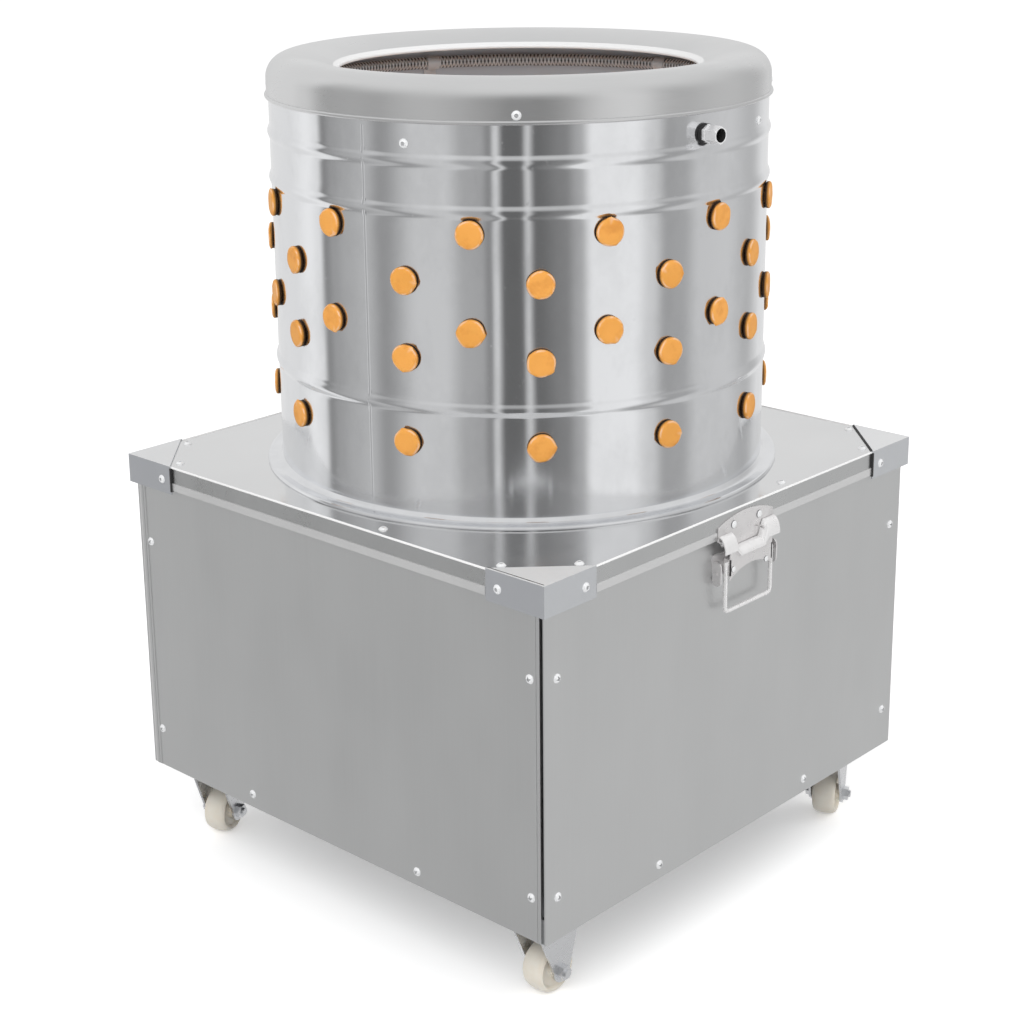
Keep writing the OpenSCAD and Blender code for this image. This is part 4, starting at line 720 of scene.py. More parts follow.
def skin(work: bmesh.types.BMesh, rings: Sequence[list[bmesh.types.BMVert]]) -> None:
    """Joins neighbouring rings of vertices by faces.

    Args:
        work: The mesh that holds the vertices.
        rings: The rings in order, of equal count; a ring of one vertex is a pole.
    """
    for low, high in zip(rings, rings[1:]):
        count = max(len(low), len(high))
        for step in range(count):
            after = (step + 1) % count
            corners = []
            for ring, index in ((low, step), (low, after), (high, after), (high, step)):
                vertex = ring[index if len(ring) > 1 else 0]
                if vertex not in corners:
                    corners.append(vertex)
            if len(corners) > 2:
                work.faces.new(corners)


def lathe(profile: Profile, segments: int, closed: bool,
          sweep: Optional[Sweep] = None) -> bmesh.types.BMesh:
    """Turns a profile round the Z axis.

    Args:
        profile: Points of radius and height, in metres; a radius of 0 closes a pole.
        segments: Steps round the axis.
        closed: Whether the last point joins the first, as for a wall with thickness.
        sweep: Changes a radius, given angle, radius and height.

    Returns:
        The mesh, with faces pointing outwards.
    """
    work = bmesh.new()
    rings = []
    for radius, height in profile:
        if radius < 1e-7:
            rings.append([work.verts.new((0.0, 0.0, height))])
            continue
        ring = []
        for step in range(segments):
            angle = math.tau * step / segments
            r = sweep(angle, radius, height) if sweep else radius
            ring.append(work.verts.new((r * math.cos(angle), r * math.sin(angle), height)))
        rings.append(ring)
    skin(work, rings + rings[:1] if closed else rings)
    bmesh.ops.recalc_face_normals(work, faces=work.faces)
    return work


def to_mesh(work: bmesh.types.BMesh, name: str) -> bpy.types.Mesh:
    """Writes a bmesh to a new mesh.

    Args:
        work: The bmesh, which is freed.
        name: The new mesh's name.

    Returns:
        The new mesh.
    """
    mesh = bpy.data.meshes.new(name)
    work.to_mesh(mesh)
    work.free()
    return mesh


def bar(work: bmesh.types.BMesh, place: Matrix, size: Sequence[float]) -> None:
    """Adds a block of the given size, in metres, with its middle at a place."""
    bmesh.ops.create_cube(work, size=1.0, matrix=place @ Matrix.Diagonal((*size, 1.0)))


def tinted(mesh: bpy.types.Mesh, rule: Callable[[Vector], float]) -> bpy.types.Mesh:
    """Stores a tint on every vertex.

    Args:
        mesh: The mesh.
        rule: Gives the tint at a place: above 0 pale, below 0 painted shade.

    Returns:
        The same mesh.
    """
    layer = mesh.attributes.new("tint", "FLOAT", "POINT")
    for vertex in mesh.vertices:
        layer.data[vertex.index].value = rule(vertex.co)
    return mesh


def rounded(holder: bpy.types.Object, width: float, angle: float) -> bpy.types.BevelModifier:
    """Gives an object a live rounding of its edges.

    Args:
        holder: The object.
        width: Width of the rounding, in metres.
        angle: Edges that turn by more than this, in degrees, are rounded.

    Returns:
        The modifier.
    """
    bevel = holder.modifiers.new("rounding", "BEVEL")
    bevel.width = width
    bevel.segments = 2
    bevel.limit_method = "ANGLE"
    bevel.angle_limit = math.radians(angle)
    return bevel


def flat_shaded(mesh: bpy.types.Mesh, name: str) -> bpy.types.Mesh:
    """Gives big flat faces their own normals, so that only the rounded edges turn the light.

    Args:
        mesh: The mesh with rounded edges.
        name: The new mesh's name.

    Returns:
        The new mesh.
    """
    holder = stand(name + "_normals", mesh)
    weighted = holder.modifiers.new("weighted", "WEIGHTED_NORMAL")
    weighted.mode = "FACE_AREA"
    weighted.weight = 100
    weighted.keep_sharp = True
    return plain_mesh(holder, name)


def softened(node: str, width: float) -> bpy.types.Mesh:
    """Copies a CAD node's mesh, with its corners merged and small rounded edges.

    Args:
        node: The CAD node to copy.
        width: Width of the rounding, in metres.

    Returns:
        The plain mesh.
    """
    work = bmesh.new()
    work.from_mesh(frame["nodes"][node].data)
    bmesh.ops.remove_doubles(work, verts=work.verts, dist=2e-6)
    bmesh.ops.dissolve_limit(work, angle_limit=math.radians(0.6), verts=work.verts, edges=work.edges)
    holder = stand(node + "_work", to_mesh(work, node + "_soft"))
    bevel = rounded(holder, width, 34.0)
    bevel.use_clamp_overlap = True
    bevel.miter_outer = "MITER_ARC"
    mesh = smooth(plain_mesh(holder, node + "_soft"), 46.0)
    return flat_shaded(mesh, node + "_soft")


@dataclass(frozen=True)
class Spot:
    """A place and a direction: where a fastener or finger sits, and which way its +Z points."""

    place: Vector
    axis: Vector
    turn: float = 0.0

    def euler(self) -> Vector:
        """The turn of a child whose +Z points along the axis, as Euler angles."""
        base = self.axis.to_track_quat("Z", "Y").to_matrix()
        return Vector((base @ Matrix.Rotation(self.turn, 3, "Z")).to_euler())


def spot_cloud(name: str, spots: Sequence[Spot]) -> bpy.types.Object:
    """Makes a mesh of loose points for a geometry tree to set pieces on.

    Args:
        name: The cloud's name.
        spots: The places, each of which stores its facing.

    Returns:
        The cloud's object.
    """
    mesh = bpy.data.meshes.new(name)
    mesh.from_pydata([tuple(s.place) for s in spots], [], [])
    facing = mesh.attributes.new("facing", "FLOAT_VECTOR", "POINT")
    for index, spot in enumerate(spots):
        facing.data[index].vector = spot.euler()
    return stand(name, mesh)


class PieceScatter:
    """Geometry Nodes tree that sets one of several master shapes on every point of a cloud."""

    def __init__(self, name: str, masters: int) -> None:
        """Builds the tree.

        Args:
            name: The tree's name.
            masters: How many master shapes it picks from.
        """
        self.tree = bpy.data.node_groups.new(name, "GeometryNodeTree")
        face = self.tree.interface
        face.new_socket("Geometry", in_out="INPUT", socket_type="NodeSocketGeometry")
        for index in range(masters):
            face.new_socket(f"Master {index}", in_out="INPUT", socket_type="NodeSocketObject")
        face.new_socket("Size", in_out="INPUT", socket_type="NodeSocketFloat").default_value = 1.0
        face.new_socket("Seed", in_out="INPUT", socket_type="NodeSocketInt").default_value = 7
        face.new_socket("Finish", in_out="INPUT", socket_type="NodeSocketMaterial")
        face.new_socket("Geometry", in_out="OUTPUT", socket_type="NodeSocketGeometry")
        weave = Weave(self.tree)
        given = weave.add("NodeGroupInput")
        joined = weave.add("GeometryNodeJoinGeometry")
        for index in reversed(range(masters)):
            info = weave.add("GeometryNodeObjectInfo", {"Object": given.outputs[f"Master {index}"]})
            single = weave.add("GeometryNodeGeometryToInstance", {0: info.outputs["Geometry"]})
            self.tree.links.new(single.outputs[0], joined.inputs[0])
        choice = weave.add("FunctionNodeRandomValue", data_type="INT")
        for socket in choice.inputs:
            if socket.type == "INT" and socket.name in ("Min", "Max"):
                socket.default_value = 0 if socket.name == "Min" else masters - 1
        self.tree.links.new(given.outputs["Seed"], choice.inputs["Seed"])
        pick = [s for s in choice.outputs if s.type == "INT"][0]
        facing = weave.add("GeometryNodeInputNamedAttribute", {"Name": "facing"},
                           data_type="FLOAT_VECTOR")
        facing_out = [s for s in facing.outputs if s.name == "Attribute" and s.enabled][0]
        setter = weave.add("GeometryNodeInstanceOnPoints", {
            "Points": given.outputs["Geometry"], "Instance": joined.outputs[0], "Pick Instance": True,
            "Instance Index": pick, "Rotation": facing_out})
        self.tree.links.new(given.outputs["Size"], setter.inputs["Scale"])
        real = weave.add("GeometryNodeRealizeInstances", {0: setter.outputs[0]})
        dressed = weave.add("GeometryNodeSetMaterial", {"Geometry": real.outputs[0],
                                                        "Material": given.outputs["Finish"]})
        weave.add("NodeGroupOutput", {0: dressed.outputs[0]})

    def identifier(self, name: str) -> str:
        """The identifier of a named input, which a modifier's inputs are set by."""
        return next(s.identifier for s in self.tree.interface.items_tree
                    if s.item_type == "SOCKET" and s.in_out == "INPUT" and s.name == name)

    def run(self, name: str, spots: Sequence[Spot], masters: Sequence[bpy.types.Object],
            material: bpy.types.Material, seed: int = 7) -> bpy.types.Mesh:
        """Sets the masters on the spots.

        Args:
            name: The new mesh's name.
            spots: Where they go.
            masters: The master shapes, as many as the tree was made for.
            material: The material that they wear.
            seed: Which of the masters goes where.

        Returns:
            One plain mesh of them all.
        """
        cloud = spot_cloud(name + "_spots", spots)
        modifier = cloud.modifiers.new("scatter", "NODES")
        modifier.node_group = self.tree
        for index, master in enumerate(masters):
            modifier[self.identifier(f"Master {index}")] = master
        modifier[self.identifier("Size")] = 1.0
        modifier[self.identifier("Seed")] = seed
        modifier[self.identifier("Finish")] = material
        return plain_mesh(cloud, name)


@dataclass
class Layout:
    """Sizes that several sub-assemblies share, in metres, as the CAD source has them."""

    lid_top: float = field(default_factory=lambda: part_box("lid")[1].z)
    lid_half: float = 0.290
    cabinet_half: float = 0.286
    caster_h: float = 0.088
    brace_t: float = 0.0015
    drum_r: float = 0.250
    drum_t: float = 0.0015
    drum_h: float = 0.396
    drum_tail: float = 0.031
    cap_foot: float = 0.374
    cap_skirt_r: float = 0.2518

    def side(self, x: float, y: float, z: float, turn: int) -> Vector:
        """A point given for the -Y side, turned to one of the four sides."""
        return Matrix.Rotation(math.radians(90.0 * turn), 3, "Z") @ Vector((x, y, z))


@dataclass
class Fasteners:
    """Screws and rivets: domed heads set in rows on the panels, the lid, the rim and the drum."""

    layout: Layout
    head_r: float = 0.0045
    head_h: float = 0.0024
    dome_power: float = 2.6
    seat: float = 0.0002
    cross_reach: float = 0.5
    cross_half: float = 0.17
    round_reach: float = 0.4
    panel_in: float = 0.017
    panel_low: float = 0.0435
    panel_high: float = 0.0925
    foot_x: float = 0.121
    foot_rise: float = 0.015
    lid_in: float = 0.015
    corner_rivet: float = 0.226
    middle_rivet: tuple[float, float] = (0.078, 0.013)
    brace_in: float = 0.055
    brace_drop: float = 0.015
    skirt_rise: float = 0.0088
    skirt_start: float = -138.0
    clip_rise: float = 0.3555
    clip_angles: tuple[float, ...] = (-162.0, -71.0, 2.0, 66.0, 127.0)
    scatter: PieceScatter = field(default_factory=lambda: PieceScatter("fastener_rows", 2))

    def dome(self, share: float) -> float:
        """Height of the dome at a share of its radius."""
        return self.head_h * (1.0 - share ** self.dome_power)

    def head(self, name: str, recess: float, cross: bool) -> bpy.types.Object:
        """One domed head with a cross or round recess.

        Args:
            name: The master's name.
            recess: Depth of the recess.
            cross: Whether the recess is a cross; else it is round.

        Returns:
            The master object.
        """
        steps = 48
        work = bmesh.new()
        rings: list[list[bmesh.types.BMVert]] = []
        for share in (0.0, 0.12, 0.22, 0.30, 0.36, 0.46, 0.60, 0.74, 0.86, 0.95, 1.0):
            ring = []
            for step in range(1 if share == 0.0 else steps):
                angle = math.tau * step / steps
                beside = abs(math.sin(2.0 * angle)) * share
                in_arm = share < self.cross_reach and beside < self.cross_half
                sunk = in_arm if cross else share < self.round_reach
                height = self.dome(share) + self.seat - (recess if sunk else 0.0)
                ring.append(work.verts.new((share * self.head_r * math.cos(angle),
                                            share * self.head_r * math.sin(angle), height)))
            rings.append(ring)
        base = [work.verts.new((v.co.x, v.co.y, 0.0)) for v in rings[-1]]
        skin(work, rings + [base])
        work.faces.new(list(reversed(base)))
        bmesh.ops.recalc_face_normals(work, faces=work.faces)
        mesh = smooth(to_mesh(work, name), 40.0)

        def dark(place: Vector) -> float:
            """Painted shade in the recess and round the middle of the head."""
            share = math.hypot(place.x, place.y) / self.head_r
            if place.z < self.seat / 2.0 or share > self.cross_reach:
                return 0.0
            if place.z < self.dome(share) - recess * 0.4:
                return -0.75
            return -0.5 if share < self.round_reach + 0.01 else 0.0

        return stand(name, tinted(mesh, dark))

    def panel_spots(self) -> list[Spot]:
        """The panel screws.

        Returns:
            Their places on all four sides.
        """
        spots = []
        lay = self.layout
        edge = lay.cabinet_half - self.panel_in
        rows = ((edge, lay.lid_top - self.panel_high), (edge, lay.caster_h + self.panel_low),
                (self.foot_x, lay.caster_h + self.foot_rise))
        for turn in range(4):
            for x, z in rows:
                for side in (-1, 1):
                    spots.append(Spot(lay.side(side * x, -lay.cabinet_half, z, turn),
                                      lay.side(0.0, -1.0, 0.0, turn), 0.7 * turn + x * 40.0 * side))
        return spots

    def lid_spots(self) -> list[Spot]:
        """The rivets on the lid's top and the screws of the corner braces' skirts.

        Returns:
            Their places, side by side.
        """
        spots = []
        lay = self.layout
        up = Vector((0.0, 0.0, 1.0))
        rivets = ((-lay.lid_half + self.lid_in, -self.corner_rivet),
                  (-self.corner_rivet, -lay.lid_half + self.lid_in),
                  (self.middle_rivet[0], -lay.lid_half + self.middle_rivet[1]))
        for turn in range(4):
            for x, y in rivets:
                spots.append(Spot(lay.side(x, y, lay.lid_top, turn), up, turn * 0.9))
            for side in (-1, 1):
                x = side * (lay.lid_half + lay.brace_t - self.brace_in)
                place = lay.side(x, -lay.lid_half - lay.brace_t, lay.lid_top - self.brace_drop, turn)
                spots.append(Spot(place, lay.side(0.0, -1.0, 0.0, turn), turn + side * 0.4))
        return spots

    def rim_spots(self) -> list[Spot]:
        """The screws of the cap's skirt and of the hose clips.

        Returns:
            Their places round the drum.
        """
        spots = []
        lay = self.layout
        for index in range(4):
            out = on_ring(1.0, self.skirt_start + 90.0 * index)
            lift = Vector((0.0, 0.0, lay.lid_top + lay.cap_foot + self.skirt_rise))
            spots.append(Spot(out * lay.cap_skirt_r + lift, out, index))
        for degrees in self.clip_angles:
            out = on_ring(1.0, degrees)
            lift = Vector((0.0, 0.0, lay.lid_top + self.clip_rise))
            spots.append(Spot(out * lay.drum_r + lift, out, degrees))
        return spots

    def dress(self) -> None:
        """Makes all the fasteners that these rows hold."""
        zinc = SHELF.special(HEAD_PLATE)
        cross = self.head("cross_head", 0.0011, True)
        rivet = self.head("rivet_head", 0.0012, False)
        rows = (("panel_screw_heads", self.panel_spots(), [cross, cross], "cabinet", "panel_screws"),
                ("lid_screw_heads", self.lid_spots(), [rivet, rivet], "drum_and_lid", "lid_screws"),
                ("rim_screw_heads", self.rim_spots(), [rivet, rivet], "drum_and_lid", "rim_screws"))
        for name, spots, masters, body, node in rows:
            mesh = self.scatter.run(name, spots, masters, zinc)
            keep(name, smooth(mesh, 40.0), body, zinc, (node,))
        discard((cross, rivet))


@dataclass
class DrumAssembly:
    """Rolled drum with its beads and foot ring, the domed rim cap and the spray hose."""

    layout: Layout
    segments: int = 288
    beads: tuple[float, ...] = (0.111, 0.295, 0.3405)
    bead_out: float = 0.0022
    bead_w: float = 0.015
    foot_w: float = 0.0155
    mouth_r: float = 0.181
    crest: float = 0.4148
    crown_r: float = 0.2298
    shoulder: float = 0.022
    fall: float = 0.0134
    cap_t: float = 0.0015
    skirt_lip: float = 0.002
    mouth_lip: float = 0.0022
    bright_band: float = 0.0035
    seam_angles: tuple[float, ...] = (-172.2, 7.8)
    seam_half: float = 0.0018
    seam_rise: float = 0.00034
    seam_start: float = 0.008
    hose_d: float = 0.013
    hose_z: float = 0.378
    hose_start: float = -90.6
    hose_sweep: float = 344.0
    braid_pitch: float = 0.0042

    def bulge(self, z: float) -> float:
        """How far a bead makes the drum's wall stand out.

        Args:
            z: Height above the lid.

        Returns:
            The distance, in metres; 0 between the beads.
        """
        total = 0.0
        for bead in self.beads:
            t = abs(z - bead) / (self.bead_w / 2.0)
            if t < 1.0:
                total += self.bead_out * (0.5 + 0.5 * math.cos(math.pi * t)) ** 0.8
        return total

    def wall_heights(self) -> list[float]:
        """Heights above the lid at which the wall's profile has a point.

        Returns:
            The heights, from the lowest up, close together on the beads.
        """
        heights = {-self.layout.drum_tail, 0.0, 0.004, self.layout.drum_h}
        for bead in self.beads:
            for step in range(-12, 13):
                heights.add(round(bead + step / 12.0 * self.bead_w / 2.0, 6))
        for step in range(1, 40):
            heights.add(round(step * 0.01, 6))
        return sorted(h for h in heights if -self.layout.drum_tail <= h <= self.layout.drum_h)

    def shell(self) -> None:
        """The drum's wall with its foot ring and weld."""
        lay = self.layout
        heights = self.wall_heights()
        outer = [(lay.drum_r + self.bulge(z), lay.lid_top + z) for z in heights]
        inner = [(lay.drum_r - lay.drum_t + self.bulge(z), lay.lid_top + z) for z in reversed(heights)]
        wall = to_mesh(lathe(outer + inner, self.segments, True), "drum_wall")
        edge = lay.drum_r + self.foot_w
        weld = [(lay.drum_r, 0.0072), (lay.drum_r + 0.0011, 0.0062), (lay.drum_r + 0.0026, 0.0043),
                (lay.drum_r + 0.0046, 0.0031), (lay.drum_r + 0.0062, 0.0028)]
        rim = [(edge - 0.0035, 0.0028), (edge - 0.0022, 0.0031), (edge - 0.0008, 0.0026), (edge, 0.0013),
               (edge - 0.0002, 0.0001), (lay.drum_r - 0.0002, 0.0001)]
        foot = to_mesh(lathe([(r, lay.lid_top + z) for r, z in weld + rim], self.segments, True),
                       "drum_foot")
        steel = SHELF.get(Slot.DRUM)
        shell = keep("drum_wall_dressed", smooth(wall), "drum_and_lid", steel,
                     ("drum_shell",))
        shell.data.materials.append(SHELF.special(BORE_SHEET))
        for face in shell.data.polygons:
            inwards = face.normal.x * face.center.x + face.normal.y * face.center.y < 0.0
            face.material_index = 1 if inwards else 0
        keep("drum_foot_dressed", smooth(foot), "drum_and_lid", steel)
        self.seams()

    def seams(self) -> None:
        """The two upright weld seams where the half shells meet."""
        lay = self.layout
        work = bmesh.new()
        rows = 60
        half, rise = self.seam_half, self.seam_rise
        section = ((-half, -0.0001), (-half / 2.0, rise - 0.00012), (0.0, rise),
                   (half / 2.0, rise - 0.00012), (half, -0.0001), (0.0, -0.0006))
        for degrees in self.seam_angles:
            strips = []
            for row in range(rows + 1):
                z = self.seam_start + (lay.cap_foot - 0.012) * row / rows
                strip = []
                for across, lift in section:
                    angle = math.radians(degrees) + across / lay.drum_r
                    r = lay.drum_r + self.bulge(z) + lift
                    strip.append(work.verts.new((r * math.cos(angle), r * math.sin(angle),
                                                 lay.lid_top + z)))
                strips.append(strip)
            skin(work, strips)
            work.faces.new(list(reversed(strips[0])))
            work.faces.new(strips[-1])
        bmesh.ops.recalc_face_normals(work, faces=work.faces)
        keep("drum_seams", smooth(to_mesh(work, "drum_seams")), "drum_and_lid",
             SHELF.get(Slot.DRUM))

    def cap(self) -> None:
        """The domed rim cap with its beaded skirt and rolled mouth."""
        lay = self.layout
        axis_z = self.crest - self.shoulder
        reach = self.crown_r - self.mouth_r
        big_r = (reach * reach + self.fall * self.fall) / (2.0 * self.fall)
        lean = math.asin(reach / big_r)
        mouth_z = self.crest - self.fall
        outer = arc((lay.cap_skirt_r, lay.cap_foot + self.skirt_lip), self.skirt_lip, -90.0, 90.0, 12)
        outer.append((lay.cap_skirt_r, axis_z))
        outer += arc((self.crown_r, axis_z), self.shoulder, 0.0, 90.0, 24)[1:]
        for step in range(1, 25):
            angle = lean * step / 24.0
            outer.append((self.crown_r - big_r * math.sin(angle),
                          self.crest - big_r * (1.0 - math.cos(angle))))
        outer += arc((self.mouth_r, mouth_z - self.mouth_lip), self.mouth_lip, 90.0, 270.0, 9)[1:]
        inner: Profile = []
        inner_r = big_r - self.cap_t
        for step in range(24, -1, -1):
            angle = lean * step / 24.0
            inner.append((self.crown_r - inner_r * math.sin(angle),
                          self.crest - big_r + inner_r * math.cos(angle)))
        inner += arc((self.crown_r, axis_z), self.shoulder - self.cap_t, 0.0, 90.0, 24)[-2::-1]
        inner.append((lay.cap_skirt_r - self.cap_t, lay.cap_foot))
        work = lathe([(r, lay.lid_top + z) for r, z in outer + inner], self.segments, True)
        cap = keep("rim_cap_dressed", smooth(to_mesh(work, "rim_cap_dressed")), "drum_and_lid",
                   SHELF.special(CAP_SHEET), ("rim_cap",))
        # Painted highlight: the rolled mouth gets the bright edge finish.
        cap.data.materials.append(SHELF.special(EDGE_PAINTED_HIGHLIGHT))
        for face in cap.data.polygons:
            at_mouth = face.center.xy.length < self.mouth_r + self.bright_band
            face.material_index = 1 if at_mouth else 0

    def hose(self) -> None:
        """The braided spray hose, with a UV map that its braid follows."""
        tube_r = self.hose_d / 2.0
        hose_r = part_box("spray_hose")[1].x - tube_r
        start, sweep = math.radians(self.hose_start), math.radians(self.hose_sweep)
        along, around = 420, 20
        work = bmesh.new()
        uv = work.loops.layers.uv.new("braid")
        rings = []
        for step in range(along + 1):
            angle = start + sweep * step / along
            ring = []
            for turn in range(around):
                tilt = math.tau * turn / around
                r = hose_r + tube_r * math.cos(tilt)
                ring.append(work.verts.new((r * math.cos(angle), r * math.sin(angle),
                                            self.layout.lid_top + self.hose_z + tube_r * math.sin(tilt))))
            rings.append(ring)
        for step, (low, high) in enumerate(zip(rings, rings[1:])):
            near, far = (hose_r * sweep * s / along / self.braid_pitch for s in (step, step + 1))
            for turn in range(around):
                after = (turn + 1) % around
                face = work.faces.new((low[turn], high[turn], high[after], low[after]))
                here, there = turn / around, (turn + 1) / around
                places = ((near, here), (far, here), (far, there), (near, there))
                for loop, place in zip(face.loops, places):
                    loop[uv].uv = place
        work.faces.new(rings[0])
        work.faces.new(list(reversed(rings[-1])))
        bmesh.ops.recalc_face_normals(work, faces=work.faces)
        keep("spray_hose_dressed", smooth(to_mesh(work, "spray_hose_dressed")), "drum_and_lid",
             SHELF.get(Slot.HOSE), ("spray_hose",))

    def build(self) -> None:
        """Makes the drum's own pieces."""
        self.shell()
        self.cap()
        self.hose()


@dataclass
class Fingers:
    """Plucking fingers in the drum's wall and in the feather plate."""

    layout: Layout
    head_r: float = 0.01325
    head_t: float = 0.0052
    groove: float = 0.0010
    shade_from: float = 0.0036
    shade_over: float = 0.0020
    neck_r: float = 0.0108
    length: float = 0.085
    tip_r: float = 0.0085
    ribs: int = 9
    plate_top: float = 0.405
    plate_t: float = 0.003
    first_column: float = -162.5
    column_step: float = 14.6
    columns: int = 12
    even_heights: tuple[float, ...] = (0.076, 0.157, 0.230)
    odd_heights: tuple[float, ...] = (0.1845, 0.2755)
    plate_rings: tuple[tuple[float, int], ...] = ((0.072, 8), (0.120, 11), (0.168, 15), (0.214, 18))
    scatter: PieceScatter = field(default_factory=lambda: PieceScatter("finger_rows", 4))

    def profile(self, sheet: float) -> Profile:
        """Half outline of a finger, from the middle of its head to the middle of its tip.

        Args:
            sheet: Thickness of the sheet that the finger passes, from height 0 up.

        Returns:
            The outline, as radius and height.
        """
        gap = 0.0003
        r, neck, tip, back = self.head_r, self.neck_r, self.tip_r, -self.head_t
        points = [(0.0, back - gap + 0.0004), (r * 0.5, back - gap + 0.0002), (r * 0.84, back - gap),
                  (r * 0.95, back + 0.0004), (r, back + 0.0014), (r * 1.003, -0.0034),
                  (r * 1.002, -0.0022), (r, -self.groove - 0.0005), (r * 0.97, -self.groove),
                  (r * 0.95, -self.groove + 0.0003), (r * 0.98, -gap), (neck, -gap),
                  (neck, sheet + 0.0003), (neck + 0.002, sheet + 0.0011),
                  (neck + 0.0018, sheet + 0.0045), (neck + 0.0004, sheet + 0.0068)]
        start, end = sheet + 0.0095, sheet + self.length - 0.004
        step = (end - start) / self.ribs
        for rib in range(self.ribs):
            foot = start + (end - start) * rib / self.ribs
            taper = neck + (tip - neck) * (rib + 0.5) / self.ribs
            points += [(taper - 0.0004, foot), (taper + 0.0003, foot + step * 0.3),
                       (taper + 0.0003, foot + step * 0.62)]
        points += [(tip, end), (tip - 0.0012, end + 0.0025), (tip - 0.0035, end + 0.004),
                   (0.0, end + 0.004)]
        return points

    def master(self, index: int, sheet: float) -> bpy.types.Object:
        """One finger, with its own torn flash round the head.

        Args:
            index: Which of the four masters.
            sheet: Thickness of the sheet that it passes.

        Returns:
            The master object.
        """
        chance = random.Random(40 + index)
        waves = [(chance.uniform(0.0, 6.28), chance.randint(2, 5), chance.uniform(0.002, 0.011))
                 for _ in range(3)]
        spikes = [(chance.uniform(0.0, 6.28), chance.uniform(0.18, 0.32), chance.uniform(0.04, 0.12))
                  for _ in range(index)]

        def ragged(angle: float, radius: float, height: float) -> float:
            """Radius with the head's uneven edge."""
            if height > -self.groove or radius < self.head_r * 0.7:
                return radius
            change = sum(size * math.sin(count * angle + phase) for phase, count, size in waves)
            for centre, width, size in spikes if height < -self.head_t * 0.72 else ():
                near = abs((angle - centre + math.pi) % (2.0 * math.pi) - math.pi)
                if near < width:
                    change += size * math.sqrt(1.0 - near / width)
            return radius * (1.0 + change)

        def tone(place: Vector) -> float:
            """Pale bits on the face's torn edge; painted shade on the wall behind, black at the groove.
            """
            r, angle = math.hypot(place.x, place.y), math.atan2(place.y, place.x)
            if place.z < -self.head_t * 0.75:
                pale = sum(math.sin(count * 2.0 * angle + phase) for phase, count, _ in waves)
                return min(1.0, max(0.0, 0.45 + 0.5 * pale)) if r > self.head_r * 0.9 else 0.0
            if place.z > 0.0:
                return 0.0
            # Painted shade: deepens to black towards the drum, over shade_over from shade_from before it.
            deep = (place.z + self.shade_from) / self.shade_over
            return -0.12 - 0.88 * min(1.0, max(0.0, deep))

        work = lathe(self.profile(sheet), 28, False, ragged)
        mesh = smooth(to_mesh(work, f"finger_master_{index}"), 48.0)
        return stand(f"finger_master_{index}", tinted(mesh, tone))

    def wall_spots(self) -> list[Spot]:
        """The fingers of the drum's wall, in columns on each half shell.

        Returns:
            Their places, each facing inwards.
        """
        chance = random.Random(5)
        spots = []
        for shell in (0.0, 180.0):
            for column in range(self.columns):
                out = on_ring(1.0, self.first_column + shell + self.column_step * column)
                for height in self.odd_heights if column % 2 else self.even_heights:
                    lift = Vector((0.0, 0.0, self.layout.lid_top + height))
                    spots.append(Spot(out * self.layout.drum_r + lift, -out, chance.uniform(0.0, 6.28)))
        return spots

    def plate_spots(self) -> list[Spot]:
        """The fingers of the feather plate, in rings.

        Returns:
            Their places, each facing up.
        """
        chance = random.Random(9)
        spots = []
        under = self.plate_top - self.plate_t
        for radius, count in self.plate_rings:
            for index in range(count):
                place = on_ring(radius, index * 360.0 / count + radius * 1000.0, under)
                spots.append(Spot(place, Vector((0.0, 0.0, 1.0)), chance.uniform(0.0, 6.28)))
        return spots

    def build(self) -> None:
        """Makes both sets of fingers."""
        rubber = SHELF.get(Slot.FINGER)
        sets = (("wall_fingers_moulded", self.wall_spots(), self.layout.drum_t, "drum_and_lid",
                 "wall_fingers", 3),
                ("plate_fingers_moulded", self.plate_spots(), self.plate_t, "turntable",
                 "plate_fingers", 11))
        for name, spots, sheet, body, node, seed in sets:
            masters = [self.master(index, sheet) for index in range(4)]
            mesh = self.scatter.run(name, spots, masters, rubber, seed)
            keep(name, mesh, body, rubber, (node,))
            discard(masters)


@dataclass(frozen=True)
class RivetHead:
    """A domed rivet head on a plate: place along X, drop under the lid's top, radius and rise."""

    x: float
    drop: float
    radius: float
    rise: float


